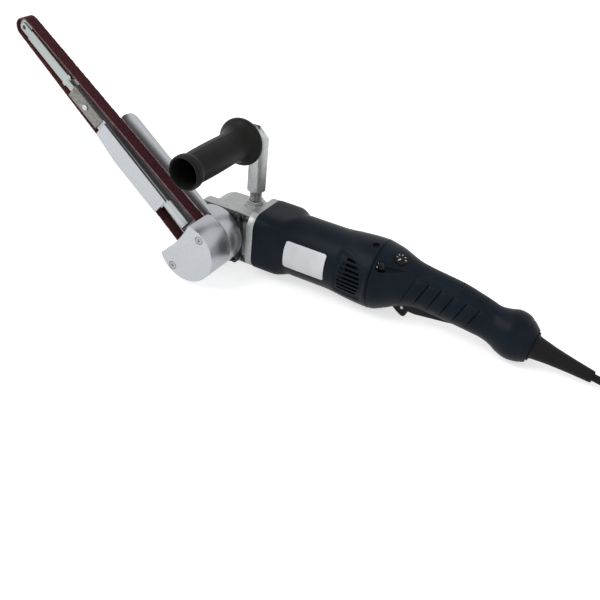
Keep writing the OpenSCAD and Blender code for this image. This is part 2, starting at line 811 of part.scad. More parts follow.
// Both handle shells before they are parted on the middle plane.
module handle_body() {
    last = len(handle_station_shares) - 1;
    difference() {
        union() {
            difference() {
                handle_form(0, last, 0);
                handle_form(handle_wall, last - 2, overrun);
            }
            intersection() {
                handle_form(handle_wall / 2, last - 1, 0);
                union() {
                    for (site = screw_sites()) {
                        translate([site[0], handle_r, site[1]]) toward_nose(0)
                            cylinder(r = handle_boss_r, h = 2 * handle_r);
                    }
                    for (side = [-1, 1], x = [switch_x, switch_x + switch_length - 2 * holder_wall]) {
                        rib_y = side * (switch_half + seat_gap + handle_r / 2);
                        translate([x, rib_y - handle_r / 2, switch_low])
                            cube([2 * holder_wall, handle_r, switch_high - switch_low]);
                    }
                    dial_axis() translate([0, 0, -handle_wall])
                        cylinder(d = dial_d + 2 * dial_boss_wall, h = 2 * handle_wall);
                }
            }
        }
        boot_axis() cylinder(r = handle_r, h = handle_r);
        boot_axis() translate([0, 0, -boot_flange_back - boot_length])
            cylinder(d = boot_d + 2 * seat_gap, h = boot_length + handle_r);
        boot_axis() translate([0, 0, -boot_flange_back - boot_flange_t - seat_gap])
            cylinder(r = boot_flange_r + seat_gap, h = boot_flange_t + 2 * seat_gap);
        slot_half = paddle_w / 2 + paddle_slot_gap;
        translate([catch_clear_x, -slot_half, -2 * handle_r + paddle_slot_top])
            cube([paddle_back + paddle_end_gap - catch_clear_x, 2 * slot_half, 2 * handle_r]);
        translate([paddle_pin_x, handle_r, paddle_pin_z]) toward_nose(0)
            cylinder(d = paddle_pin_d + seat_gap, h = 2 * handle_r);
        dial_axis() translate([0, 0, -seat_gap]) cylinder(d = dial_d + 2 * body_gap, h = handle_r);
        dial_axis() translate([0, 0, -handle_r / 2]) cylinder(d = dial_stem_d + 2 * seat_gap, h = handle_r);
        for (site = screw_sites()) {
            seat = side_at(site[0], site[1]) - screw_inset;
            translate([site[0], 0, site[1]]) scale([1, site[2], 1]) {
                toward_nose(-screw_depth)
                    cylinder(d = handle_screw_d + thread_gap, h = screw_depth + handle_r);
                toward_nose(seat) cylinder(d = handle_screw_head_d + 2 * body_gap, h = handle_r);
            }
        }
    }
}

module handle_shell_far() {
    color([0.1, 0.12, 0.16]) placed() intersection() {
        handle_body();
        translate([seam_x - overrun, 0, -2 * handle_r]) cube([2 * handle_length, 2 * handle_r, 4 * handle_r]);
    }
}

module handle_shell_near() {
    color([0.11, 0.13, 0.17]) placed() intersection() {
        handle_body();
        translate([seam_x - overrun, -2 * handle_r, -2 * handle_r])
            cube([2 * handle_length, 2 * handle_r, 4 * handle_r]);
    }
}

module handle_screws() {
    color([0.3, 0.31, 0.32]) placed() for (site = screw_sites()) {
        seat = side_at(site[0], site[1]) - screw_inset;
        translate([site[0], 0, site[1]]) scale([1, site[2], 1]) toward_nose(seat + seat_gap)
            cap_screw(handle_screw_d, seat + screw_depth - thread_end,
                handle_screw_head_d, handle_screw_head_h);
    }
}

module switch_unit() {
    color([0.13, 0.13, 0.14]) placed() translate([switch_x, -switch_half, switch_low]) difference() {
        cube([switch_length, 2 * switch_half, switch_high - switch_low]);
        for (i = [1 : 3]) {
            translate([i * switch_length / 4, switch_half, switch_high - holder_wall])
                cylinder(d = handle_screw_d, h = 2 * holder_wall);
        }
    }
}

// Block under the dial that holds its stem.
module speed_module() {
    color([0.2, 0.24, 0.22]) placed() dial_axis()
        translate([0, 0, -handle_wall - module_h - seat_gap]) difference() {
        translate([-module_half, -module_half, 0]) cube([2 * module_half, 2 * module_half, module_h]);
        translate([0, 0, module_h - dial_stem]) cylinder(d = dial_stem_d + 2 * seat_gap, h = module_h);
    }
}

module speed_dial() {
    color([0.08, 0.08, 0.09]) placed() dial_axis() {
        difference() {
            cylinder(d = dial_d, h = dial_t);
            for (i = [0 : dial_knurls - 1]) {
                rotate([0, 0, 360 * i / dial_knurls])
                    translate([dial_d / 2 + dial_knurl_r / 2, 0, dial_t / 2])
                    cylinder(r = dial_knurl_r, h = dial_t);
            }
        }
        translate([0, 0, -handle_wall - dial_stem + seat_gap])
            cylinder(d = dial_stem_d, h = handle_wall + dial_stem);
    }
}

module paddle_pin() {
    reach = side_at(paddle_pin_x, paddle_pin_z) - handle_wall / 2;
    color([0.6, 0.61, 0.63]) placed() translate([paddle_pin_x, 0, paddle_pin_z]) toward_nose(-reach)
        cylinder(d = paddle_pin_d, h = 2 * reach);
}

// Long paddle under the handle, turning on a pin at its rear end.
module paddle() {
    color([0.07, 0.07, 0.08]) placed() difference() {
        translate([0, paddle_w / 2, 0]) toward_nose(0) linear_extrude(paddle_w) union() {
            polygon([
                [paddle_front, -paddle_low], [paddle_front, catch_pin_z + catch_eye_r],
                [catch_slot_x, -paddle_top], [paddle_pin_x, -paddle_top - paddle_bow],
                [paddle_pin_x + paddle_pin_d, paddle_pin_z], [paddle_back, -paddle_low + paddle_rise],
                [catch_slot_x + catch_eye_r, -paddle_low - paddle_bow]]);
        }
        translate([paddle_pin_x, paddle_w, paddle_pin_z]) toward_nose(0)
            cylinder(d = paddle_pin_d + 2 * run_gap, h = 2 * paddle_w);
        translate([paddle_front - overrun, -catch_w / 2 - body_gap, -2 * paddle_low])
            cube([catch_slot_x - paddle_front, catch_w + 2 * body_gap, 2 * paddle_low]);
        translate([catch_pin_x, paddle_w, catch_pin_z]) toward_nose(0)
            cylinder(d = catch_pin_d + seat_gap, h = 2 * paddle_w);
    }
}

module catch_pin() {
    color([0.6, 0.61, 0.63]) placed() translate([catch_pin_x, paddle_w / 2, catch_pin_z]) toward_nose(0)
        cylinder(d = catch_pin_d, h = paddle_w);
}

// Claw that must be swung before the paddle can be pressed.
module lock_catch() {
    color([0.09, 0.09, 0.1]) placed() translate([catch_pin_x, catch_w / 2, catch_pin_z]) difference() {
        toward_nose(0) linear_extrude(catch_w) {
            circle(catch_eye_r);
            polygon([for (s = catch_claw_shares) s * catch_reach]);
        }
        translate([0, overrun, 0]) toward_nose(0)
            cylinder(d = catch_pin_d + 2 * run_gap, h = catch_w + 2 * overrun);
    }
}

module cord_boot() {
    color([0.06, 0.06, 0.07]) placed() boot_axis() rotate_extrude() polygon(concat(
        [[0, -boot_flange_back - boot_flange_t], [boot_flange_r, -boot_flange_back - boot_flange_t],
        [boot_flange_r, -boot_flange_back], [boot_d / 2, -boot_flange_back]],
        [for (s = boot_shares) [s[0] * boot_d, s[1] * boot_length]],
        [[boot_end_d / 2, boot_length], [0, boot_length]]));
}

// Ring of points square to a path that stays in one upright plane.
function upright_ring(p, dir, r, n) = [for (i = [0 : n - 1]) let (t = 360 * i / n)
    p + r * (cos(t) * [0, 1, 0] + sin(t) * cross(dir, [0, 1, 0]))];
function path_dir(pts, i) = i == 0 ? unit(pts[1] - pts[0])
    : i == len(pts) - 1 ? unit(pts[i] - pts[i - 1])
    : unit(unit(pts[i] - pts[i - 1]) + unit(pts[i + 1] - pts[i]));

// Free cord from the boot down to the floor and along it to the coil.
module cord_lead() {
    color([0.05, 0.05, 0.055]) tube([for (i = [0 : len(lead_points) - 1])
        upright_ring(lead_points[i], path_dir(lead_points, i), cord_d / 2, cord_sides)]);
}

// Coil: each layer spirals in or out and climbs in the half turn where the spiral reverses.
coil_y = cord_y + coil_r;
coil_all = coil_layers * coil_turns * coil_steps;
function coil_share(i) = i / coil_steps / coil_turns;
function coil_fold(s) = let (f = s % 2) f > 1 ? 2 - f : f;
function coil_radius(i) = coil_r - coil_pitch * coil_turns * coil_fold(coil_share(i));
function coil_climb(s) = s < -0.5 ? 0 : s > 0.5 ? 1 : s + 0.5;
function coil_height(i) = coil_base + coil_rise * (
    coil_climb(2 * (i / coil_steps - coil_turns)) + coil_climb(2 * (i / coil_steps - 2 * coil_turns))
    + coil_climb(2 * (i / coil_steps - 3 * coil_turns)));
function coil_point(i) = let (t = 360 * i / coil_steps - 90)
    [coil_x + coil_radius(i) * cos(t), coil_y + coil_radius(i) * sin(t), coil_height(i)];
coil_top = coil_base + (coil_layers - 1) * coil_rise;
tail_points = [[coil_x + cord_d, cord_y, coil_top], [coil_x + tail_xs[0], cord_y, coil_top - tail_dip],
    [coil_x + tail_xs[1], cord_y, (coil_top + plug_r) / 2], [coil_x + tail_xs[2], cord_y, plug_r + tail_dip],
    [coil_x + plug_gap - cord_d, cord_y, plug_r], [coil_x + plug_gap, cord_y, plug_r]];
coil_points = concat([for (i = [0 : coil_all]) coil_point(i)], tail_points);

function level_ring(p, dir, r, n) = let (side = unit(cross([0, 0, 1], dir)))
    [for (i = [0 : n - 1]) let (t = 360 * i / n + 30) p + r * (cos(t) * side + sin(t) * cross(dir, side))];

module cord_coil() {
    color([0.05, 0.05, 0.055]) tube([for (i = [0 : len(coil_points) - 1])
        level_ring(coil_points[i], i == 0 ? [1, 0, 0] : path_dir(coil_points, i), cord_d / 2, coil_sides)]);
}

// Smallest distance between two stretches of the coil, surface to surface.
echo(coil_gap = min([for (i = [0 : 2 : coil_all], j = [i + coil_steps / 2 : coil_all])
    norm(coil_points[i] - coil_points[j])]) - cord_d);

// Flat tie round the coil's bundle.
module coil_tie() {
    high = coil_top + cord_d / 2 + tie_gap;
    near = coil_r - coil_pitch * coil_turns - cord_d / 2 - tie_gap;
    far = coil_r + cord_d / 2 + tie_gap;
    color([0.12, 0.12, 0.13]) translate([coil_x, coil_y, 0]) rotate([0, 0, tie_angle])
        translate([0, -tie_w / 2, 0]) difference() {
        translate([near - tie_t, 0, 0]) cube([far - near + 2 * tie_t, tie_w, high + tie_t]);
        translate([near, -overrun, tie_t]) cube([far - near, tie_w + 2 * overrun, high - tie_t]);
    }
}

module plug_body() {
    color([0.06, 0.06, 0.065]) translate([coil_x + plug_gap, cord_y, plug_r])
        rotate([0, 90, 0]) difference() {
        rotate_extrude() polygon([
            [0, 0], [plug_neck_r * plug_mouth_share, 0], [plug_neck_r, plug_neck],
            [plug_r, plug_neck + plug_neck_r],
            [plug_r, plug_neck + plug_length], [0, plug_neck + plug_length]]);
        for (side = [-1, 1]) {
            translate([0, side * pin_spread / 2, plug_length])
                cylinder(d = pin_root_d + seat_gap, h = plug_length);
        }
    }
}

module plug_pins() {
    color([0.75, 0.76, 0.78]) translate([coil_x + plug_gap, cord_y, plug_r]) rotate([0, 90, 0])
        for (side = [-1, 1]) translate([0, side * pin_spread / 2, plug_length]) {
            translate([0, 0, seat_gap]) cylinder(d = pin_root_d, h = plug_neck + body_gap);
            translate([0, 0, plug_neck + body_gap]) cylinder(d = pin_d, h = pin_length);
        }
}

module handle_stud() {
    color([0.48, 0.47, 0.45]) placed() translate([stud_x, 0, stud_boss_top - stud_bite + seat_gap])
        cylinder(d = stud_d, h = bracket_low - stud_boss_top + stud_bite + stud_up - seat_gap);
}

module stud_nut() {
    color([0.62, 0.63, 0.63]) placed() translate([stud_x, 0, stud_boss_top + seat_gap]) difference() {
        cylinder(d = stud_nut_w * corner_share, h = stud_nut_h, $fn = 6);
        translate([0, 0, -overrun]) cylinder(d = stud_d + thread_gap, h = stud_nut_h + 2 * overrun);
    }
}

// Six-sided bar on the stud, with a round arm that carries the side grip.
module handle_bracket() {
    half = bracket_w / 2;
    fall = bracket_w * bracket_slope_share;
    color([0.67, 0.68, 0.67]) placed() translate([stud_x, 0, 0]) difference() {
        union() {
            translate([0, 0, bracket_low])
                cylinder(d = bracket_w * corner_share, h = bracket_top - bracket_low, $fn = 6);
            translate([0, 0, grip_z]) toward_nose(0) cylinder(r = bracket_arm_r, h = half + bracket_arm);
        }
        translate([-bracket_w, 0, 0]) rotate([90, 0, 90]) linear_extrude(2 * bracket_w) polygon([
            [-half, bracket_top], [half + overrun, bracket_top - fall - overrun * bracket_slope_share],
            [half + overrun, bracket_top + overrun], [-half, bracket_top + overrun]]);
        translate([0, 0, bracket_low - overrun])
            cylinder(d = stud_d + thread_gap, h = stud_up + overrun + seat_gap);
        translate([0, 0, grip_z]) toward_nose(half + bracket_arm - grip_bolt_bite - seat_gap)
            cylinder(d = grip_bolt_d + thread_gap, h = bracket_w);
    }
}

// Hollow side grip with a round flange against the bracket's arm.
module side_grip() {
    flange_t = grip_length * grip_flange_share;
    socket_end = grip_length * grip_socket_share;
    color([0.15, 0.14, 0.14]) placed() translate([stud_x, 0, grip_z])
        toward_nose(bracket_w / 2 + bracket_arm + body_gap) difference() {
        rotate_extrude() polygon(concat(
            [[0, 0], [grip_flange_r - grip_flange_edge, 0], [grip_flange_r, grip_flange_edge],
            [grip_flange_r, flange_t]],
            [for (s = grip_shares) [s[0] * grip_r, s[1] * grip_length]], [[0, grip_length]]));
        translate([0, 0, socket_end]) cylinder(r = grip_bore_r, h = grip_length);
        translate([0, 0, -overrun]) cylinder(d = grip_bolt_d + seat_gap, h = grip_length);
    }
}

module grip_bolt() {
    socket_end = grip_length * grip_socket_share;
    color([0.55, 0.56, 0.57]) placed() translate([stud_x, 0, grip_z])
        toward_nose(bracket_w / 2 + bracket_arm + body_gap + socket_end + seat_gap)
        cap_screw(grip_bolt_d, socket_end + body_gap + grip_bolt_bite,
        grip_bolt_d * bolt_head_share, grip_bolt_d * socket_share);
}

module spindle() {
    color([0.66, 0.67, 0.69]) placed() {
        toward_nose(-bush_start - bush_w + 2 * seat_gap)
            cylinder(d = spindle_d, h = bush_start + bush_w + wheel_near - 2 * seat_gap);
        toward_nose(wheel_near) cylinder(d = spindle_nose_d, h = wheel_nut_h + spindle_step);
    }
}

// Cone angle, cone distance and half tooth angle of a bevel wheel by its back cone.
function involute(a) = tan(a) * 180 / PI - a;
function cone_of(teeth, mate) = atan2(teeth, mate);
function half_tooth(teeth, cone, rho) = let (
        virtual_r = tooth_module * teeth / cos(cone) / 2,
        base_r = virtual_r * cos(pressure_angle),
        lean = acos(min(1, base_r / max(base_r, rho))))
    (90 * cos(cone) / teeth * (1 - backlash_share) + involute(pressure_angle) - involute(lean)) / cos(cone);

module bevel_wheel(teeth, mate, phase) {
    cone = cone_of(teeth, mate);
    reach = tooth_module * norm([teeth, mate]) / 2;
    virtual_r = tooth_module * teeth / cos(cone) / 2;
    root = virtual_r - dedendum_share * tooth_module;
    tip = virtual_r + addendum_share * tooth_module;
    rhos = [for (j = [0 : flank_steps]) root + (tip - root) * j / flank_steps];
    profile = concat(
        [for (j = [0 : flank_steps]) [-half_tooth(teeth, cone, rhos[j]), rhos[j]]],
        [for (j = [flank_steps : -1 : 0]) [half_tooth(teeth, cone, rhos[j]), rhos[j]]]);
    rim = [for (k = [0 : teeth - 1], q = profile) let (
            polar = cone + atan((q[1] - virtual_r) / reach), turn = 360 * k / teeth + q[0] + phase)
        [sin(polar) * cos(turn), sin(polar) * sin(turn), cos(polar)]];
    n = len(rim);
    low = reach - tooth_face;
    polyhedron(
        points = concat(low * rim, reach * rim,
            [[0, 0, low * cos(cone)], [0, 0, reach * cos(cone)]]),
        faces = concat(
            [for (i = [0 : n - 1]) [2 * n, i, (i + 1) % n]],
            [for (i = [0 : n - 1]) [2 * n + 1, n + (i + 1) % n, n + i]],
            [for (i = [0 : n - 1]) [n + i, n + (i + 1) % n, (i + 1) % n]],
            [for (i = [0 : n - 1]) [n + i, (i + 1) % n, i]]));
}

module bevel_gear() {
    color([0.5, 0.51, 0.53]) placed() toward_nose(0) difference() {
        union() {
            bevel_wheel(gear_teeth, pinion_teeth, 0);
            translate([0, 0, tooth_module * pinion_teeth / 2])
                cylinder(r = gear_hub_r, h = gear_hub_end - tooth_module * pinion_teeth / 2);
        }
        cylinder(d = spindle_d + 2 * run_gap, h = gear_cavity_r);
    }
}

module bevel_pinion() {
    color([0.5, 0.51, 0.53]) placed() along_x(0) difference() {
        union() {
            bevel_wheel(pinion_teeth, gear_teeth, -90 + 180 / pinion_teeth);
            translate([0, 0, tooth_module * gear_teeth / 2 - overrun])
                cylinder(r = pinion_hub_r, h = shaft_bearing_x - tooth_module * gear_teeth / 2 + overrun);
        }
        cylinder(d = pinion_bore_d + 2 * run_gap, h = 2 * gear_cavity_r);
    }
}

module drive_hub() {
    color([0.35, 0.36, 0.38]) placed() toward_nose(belt_offset - wheel_w / 2) difference() {
        cylinder(d = hub_d, h = wheel_w);
        translate([0, 0, -overrun]) cylinder(d = spindle_d + 2 * run_gap, h = wheel_w + 2 * overrun);
    }
}

module drive_tyre() {
    color([0.09, 0.09, 0.1]) placed() toward_nose(belt_offset - wheel_w / 2)
        ring(drive_wheel_d / 2, hub_d / 2 + run_gap, wheel_w);
}

module wheel_nut() {
    color([0.6, 0.61, 0.63]) placed() toward_nose(wheel_near + seat_gap) difference() {
        cylinder(d = wheel_nut_w, h = wheel_nut_h, $fn = 6);
        translate([0, 0, -overrun]) cylinder(d = spindle_nose_d + thread_gap, h = wheel_nut_h + 2 * overrun);
    }
}

module armature_shaft() {
    color([0.66, 0.67, 0.69]) placed() {
        along_x(shaft_bearing_x - pinion_shank) cylinder(d = pinion_bore_d, h = pinion_shank + overrun);
        along_x(shaft_bearing_x + seat_gap)
            cylinder(d = shaft_d, h = bracket_x - shaft_bearing_x - shaft_step);
        along_x(bracket_x - 2 * shaft_step)
            cylinder(d = rear_bore_d, h = bracket_disc_t + rear_bearing_w + 3 * shaft_step);
    }
}

module armature_core() {
    color([0.42, 0.4, 0.38]) placed() along_x(armature_x) difference() {
        ring(armature_d / 2, shaft_d / 2 + run_gap, armature_length);
        for (i = [0 : armature_slots - 1]) {
            rotate([0, 0, 360 * i / armature_slots])
                translate([armature_d / 2 - armature_slot_depth, -armature_slot_w / 2, -overrun])
                cube([armature_d, armature_slot_w, armature_length + 2 * overrun]);
        }
    }
}

module commutator() {
    color([0.7, 0.42, 0.22]) placed() along_x(commutator_x)
        ring(commutator_d / 2, shaft_d / 2 + run_gap, commutator_w);
}

module cooling_fan() {
    color([0.2, 0.21, 0.23]) placed() along_x(fan_x) difference() {
        union() {
            cylinder(d = fan_hub_d, h = fan_w);
            cylinder(d = fan_d, h = fan_disc_t);
            for (i = [0 : fan_blades - 1]) {
                rotate([0, 0, 360 * i / fan_blades])
                    translate([fan_hub_d / 2 - overrun, -fan_blade_t / 2, 0])
                    cube([(fan_d - fan_hub_d) / 2, fan_blade_t, fan_w]);
            }
        }
        translate([0, 0, -overrun]) cylinder(d = shaft_d + 2 * run_gap, h = fan_w + 2 * overrun);
    }
}

// Outline of the back guard plate with its rounded far corners.
module back_plate_outline() {
    r = back_plate_corner;
    circle(cover_d / 2);
    translate([0, -back_plate_fall]) square([back_plate_reach - r, back_plate_rise + back_plate_fall]);
    translate([0, -back_plate_fall + r])
        square([back_plate_reach, back_plate_rise + back_plate_fall - 2 * r]);
    for (v = [back_plate_rise - r, -back_plate_fall + r]) {
        translate([back_plate_reach - r, v]) circle(r);
    }
}

// Split ring with the back guard plate; it turns on the collar when its screw is slack.
module clamp_ring() {
    plate_back = back_plate_front - back_plate_t;
    color([0.74, 0.75, 0.76]) placed() difference() {
        union() {
            on_arm(back_plate_front) linear_extrude(back_plate_t) back_plate_outline();
            on_arm(back_plate_front) linear_extrude(back_plate_front - clamp_back) circle(cover_d / 2);
            on_arm(cover_seam) linear_extrude(cover_seam - back_plate_front) difference() {
                intersection() {
                    circle(cover_d / 2);
                    translate([-cover_d, -cover_d]) square([cover_d + cover_chord - chord_bow, 2 * cover_d]);
                }
                difference() {
                    circle(cover_d / 2 - cover_wall);
                    for (side = [-1, 1]) translate([0, side * cover_screw_v]) circle(cover_boss_r);
                }
            }
        }
        on_arm(plate_back) linear_extrude(plate_back) circle(collar_d / 2 + 2 * run_gap);
        on_arm(cover_seam + overrun) linear_extrude(cover_front) circle(gear_bearing_d / 2);
        on_arm(plate_back) translate([-cover_d, -clamp_slit / 2, 0])
            cube([cover_d, clamp_slit, plate_back]);
        on_arm(clamp_screw_depth) translate([-clamp_screw_u, 0, 0]) rotate([-90, 0, 0]) {
            translate([0, 0, -cover_d / 2])
                cylinder(d = small_screw_d + thread_gap, h = cover_d / 2 + clamp_screw_reach);
            translate([0, 0, -cover_d / 2])
                cylinder(d = clamp_head_d + 2 * body_gap, h = cover_d / 2 - clamp_screw_reach + clamp_head_h);
        }
        for (side = [-1, 1]) {
            on_arm(cover_seam + overrun) translate([0, side * cover_screw_v, 0])
                cylinder(d = small_screw_d + thread_gap, h = cover_screw_bite + 2 * overrun);
        }
        for (u = arm_screw_us) {
            on_arm(cover_seam) translate([u, 0, 0]) {
                cylinder(d = small_screw_d + thread_gap, h = cover_seam);
                translate([0, 0, cover_seam - plate_back - small_head_h])
                    cylinder(d = small_head_d + 2 * body_gap, h = cover_seam);
            }
        }
    }
}

module clamp_screw() {
    color([0.3, 0.31, 0.32]) placed() on_arm(clamp_screw_depth) translate([-clamp_screw_u, 0, 0])
        rotate([90, 0, 0]) translate([0, 0, clamp_screw_reach - clamp_head_h])
        cap_screw(small_screw_d, 2 * clamp_screw_reach - clamp_head_h - thread_end,
            clamp_head_d, clamp_head_h);
}

// Cover over the drive wheel, open on the side where the belt runs out.
module drive_cover() {
    color([0.77, 0.78, 0.79]) placed() on_arm(cover_front) difference() {
        union() {
            linear_extrude(cover_face) cover_outline();
            linear_extrude(cover_length) difference() {
                cover_outline();
                circle(cover_d / 2 - cover_wall);
            }
            linear_extrude(cover_length) intersection() {
                circle(cover_d / 2);
                for (side = [-1, 1]) translate([0, side * cover_screw_v]) circle(cover_boss_r);
            }
        }
        for (side = [-1, 1]) translate([0, side * cover_screw_v, -overrun]) {
            cylinder(d = small_screw_d + 2 * seat_gap, h = cover_length + 2 * overrun);
            cylinder(d = small_head_d + 2 * body_gap, h = small_head_h + overrun);
        }
    }
}

module cover_outline() {
    difference() {
        circle(cover_d / 2);
        translate([cover_chord - chord_bow + chord_bow_r, 0]) circle(chord_bow_r, $fn = 200);
    }
}

module cover_screws() {
    length = cover_length - small_head_h + cover_screw_bite;
    color([0.3, 0.31, 0.32]) placed() for (side = [-1, 1]) {
        on_arm(cover_front - small_head_h) translate([0, side * cover_screw_v, 0]) rotate([180, 0, 0])
            cap_screw(small_screw_d, length, small_head_d, small_head_h - seat_gap);
    }
}

// Bar that carries guard, guide and contact arm; its front half is a channel.
module arm_bar() {
    half = bar_height / 2;
    color([0.68, 0.69, 0.7]) placed() difference() {
        on_arm(bar_near) linear_extrude(bar_depth) translate([bar_start, -half])
            square([bar_end - bar_start, bar_height]);
        on_arm(bar_near + overrun) translate([spring_start, -tongue_w / 2 - seat_gap, 0])
            cube([bar_end, tongue_w + 2 * seat_gap, tongue_depth + overrun]);
        on_arm(bar_near) rotate([0, 90, 0]) translate([0, 0, bar_start - overrun])
            linear_extrude(guard_start - bar_start - guard_inset + overrun) difference() {
                translate([-half, -half - overrun]) square([half + overrun, bar_height + 2 * overrun]);
                translate([-half, 0]) circle(half);
                translate([-half - overrun, -half]) square([overrun, bar_height]);
            }
        for (u = arm_screw_us) {
            on_arm(bar_near + overrun) translate([u, 0, 0])
                cylinder(d = small_screw_d + thread_gap, h = bar_depth + 2 * overrun);
        }
        on_arm(channel_floor + overrun) translate([guide_screw_u, 0, 0])
            cylinder(d = guide_screw_d + thread_gap, h = guide_screw_bite + 2 * overrun);
    }
}

module arm_screws() {
    plate_back = back_plate_front - back_plate_t;
    length = bar_near + guard_t - plate_back - small_head_h - thread_end;
    color([0.3, 0.31, 0.32]) placed() for (u = arm_screw_us) {
        on_arm(plate_back + small_head_h) translate([u, 0, 0])
            cap_screw(small_screw_d, length, small_head_d, small_head_h - seat_gap);
    }
}

// Bright guard over the arm's rear half.
module arm_guard() {
    low = -belt_run_at(guard_start) + guard_inset;
    color([0.78, 0.79, 0.81]) placed() difference() {
        on_arm(bar_near + guard_t) linear_extrude(guard_t) polygon([
            [guard_start, low], [(guard_start + 2 * guard_end) / 3, low],
            [guard_end, low + guard_slope], [guard_end, bar_height / 2],
            [guard_start, bar_height / 2 - guard_inset]]);
        for (u = arm_screw_us) {
            on_arm(bar_near + guard_t - guard_inset) translate([u, 0, 0])
                cylinder(d = small_screw_d + thread_gap, h = guard_t + overrun);
        }
    }
}

module guide_plate() {
    color([0.62, 0.63, 0.65]) placed() on_arm(bar_near + guide_t) difference() {
        linear_extrude(guide_t) translate([guide_start, -bar_height / 2 - guide_lip])
            square([bar_end - guide_start, bar_height + guide_lip]);
        translate([guide_screw_u, 0, -overrun])
            cylinder(d = guide_screw_d + thread_gap, h = guide_t + 2 * overrun);
    }
}

module guide_screw() {
    length = guide_t + tongue_depth + guide_screw_bite;
    color([0.3, 0.31, 0.32]) placed() on_arm(bar_near + guide_t + seat_gap) translate([guide_screw_u, 0, 0])
        rotate([180, 0, 0]) cap_screw(guide_screw_d, length, guide_head_d, guide_head_h);
}

// Half gap between the belt's runs at a distance along the arm.
function belt_run_at(u) = drive_wheel_d / 2 + (idler_d - drive_wheel_d) / 2 * u / wheel_centres;

// Outline round both wheels at a distance from their rims.
module belt_outline(away) {
    big_r = drive_wheel_d / 2 + away;
    small_r = idler_d / 2 + away;
    lean = asin((big_r - small_r) / wheel_centres);
    polygon(concat(
        [for (k = [0 : belt_steps]) let (t = 90 - lean + (180 + 2 * lean) * k / belt_steps)
            big_r * [cos(t), sin(t)]],
        [for (k = [0 : belt_steps]) let (t = lean - 90 + (180 - 2 * lean) * k / belt_steps)
            [wheel_centres, 0] + small_r * [cos(t), sin(t)]]));
}

// Endless belt round the drive wheel and the idler.
module abrasive_belt() {
    color([0.24, 0.09, 0.12]) placed() on_arm(belt_near) linear_extrude(belt_width) difference() {
        belt_outline(belt_gap + belt_thickness);
        belt_outline(belt_gap);
    }
}

// Wound spring behind the tongue, shown at the length it has with a belt on.
module tension_spring() {
    mean_r = (spring_d - spring_wire) / 2;
    span = tongue_end - slide_travel - spring_start - spring_wire - 4 * seat_gap;
    steps = spring_turns * spring_steps;
    color([0.6, 0.61, 0.63]) placed() on_arm(channel_floor + tongue_depth / 2)
        translate([spring_start + spring_wire / 2 + 2 * seat_gap, 0, 0]) tube([for (k = [0 : steps])
            let (t = 360 * k / spring_steps, x = span * k / steps)
            [for (i = [0 : coil_sides - 1])
                let (q = -360 * i / coil_sides, r = mean_r + spring_wire / 2 * cos(q))
                [x + spring_wire / 2 * sin(q), r * cos(t), r * sin(t)]]]);
}

// Contact arm: tongue in the bar's channel, flat arm and the fork for the idler.
module contact_arm() {
    half = contact_height / 2;
    fork_end = wheel_centres + fork_nose;
    color([0.7, 0.71, 0.73]) placed() difference() {
        union() {
            on_arm(tongue_near) translate([tongue_end, -tongue_w / 2, 0])
                cube([shoulder_start - tongue_end + shoe_lead, tongue_w, tongue_depth - 2 * seat_gap]);
            on_arm(belt_offset + fork_half) linear_extrude(2 * fork_half) {
                translate([shoulder_start, -half]) square([fork_root - shoulder_start, contact_height]);
                translate([shoulder_start, -fork_half_height])
                    square([fork_end - fork_half_height - shoulder_start, 2 * fork_half_height]);
                translate([fork_end - fork_half_height, 0]) circle(fork_half_height);
                translate([shoulder_start + shoe_lead, -half - shoe_rise])
                    square([shoe_length, contact_height + 2 * shoe_rise]);
            }
        }
        on_arm(belt_offset + roller_half + body_gap) translate([fork_root, -contact_height, 0])
            cube([contact_height * 2, contact_height * 2, 2 * (roller_half + body_gap)]);
        on_arm(belt_offset + fork_half + overrun) translate([wheel_centres, 0, 0])
            cylinder(d = idler_pin_d + seat_gap, h = 2 * (fork_half + overrun));
        on_arm(bar_near + overrun) translate([guide_screw_u, 0, 0]) linear_extrude(bar_depth) {
            circle(d = guide_screw_d + 2 * slot_gap);
            translate([0, -guide_screw_d / 2 - slot_gap])
                square([slide_travel, guide_screw_d + 2 * slot_gap]);
            translate([slide_travel, 0]) circle(d = guide_screw_d + 2 * slot_gap);
        }
    }
}

module idler_pin() {
    color([0.55, 0.56, 0.58]) placed() on_arm(belt_offset + fork_half) translate([wheel_centres, 0, 0])
        cylinder(d = idler_pin_d, h = 2 * fork_half);
}

module idler_roller() {
    color([0.72, 0.73, 0.75]) placed() on_arm(belt_offset + roller_half) translate([wheel_centres, 0, 0])
        ring(idler_d / 2, idler_pin_d / 2 + run_gap, 2 * roller_half);
}

gear_housing();
bearing_plate();
bearing_plate_screws();
spindle_bearing();
spindle_bush();
flange_screws();
motor_housing();
stator_core();
field_coils();
front_bearing();
rear_bearing();
bearing_bracket();
brush_holders();
carbon_brushes();
label_plate();
handle_shell_far();
handle_shell_near();
handle_screws();
switch_unit();
speed_module();
paddle_pin();
cord_boot();
cord_lead();
cord_coil();
coil_tie();
plug_body();
plug_pins();
handle_stud();
stud_nut();
handle_bracket();
side_grip();
grip_bolt();
spindle();
bevel_gear();
drive_hub();
drive_tyre();
wheel_nut();
armature_shaft();
armature_core();
commutator();
cooling_fan();
bevel_pinion();
clamp_ring();
clamp_screw();
drive_cover();
cover_screws();
arm_bar();
arm_screws();
arm_guard();
guide_plate();
guide_screw();
abrasive_belt();
tension_spring();
contact_arm();
idler_pin();
idler_roller();
paddle();
catch_pin();
lock_catch();
speed_dial();
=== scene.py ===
# %% [markdown]
# A belt power file on a white floor. The machine is a motor body with a handle, a right-angle gear
# head and a long arm that carries a narrow abrasive belt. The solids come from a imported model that
# acts as a fixed frame, and this file dresses them: rounded edges, moulded shells and real
# finishes.

# %% Load the frame
import json
import math
import bpy
from mathutils import Matrix, Vector, noise


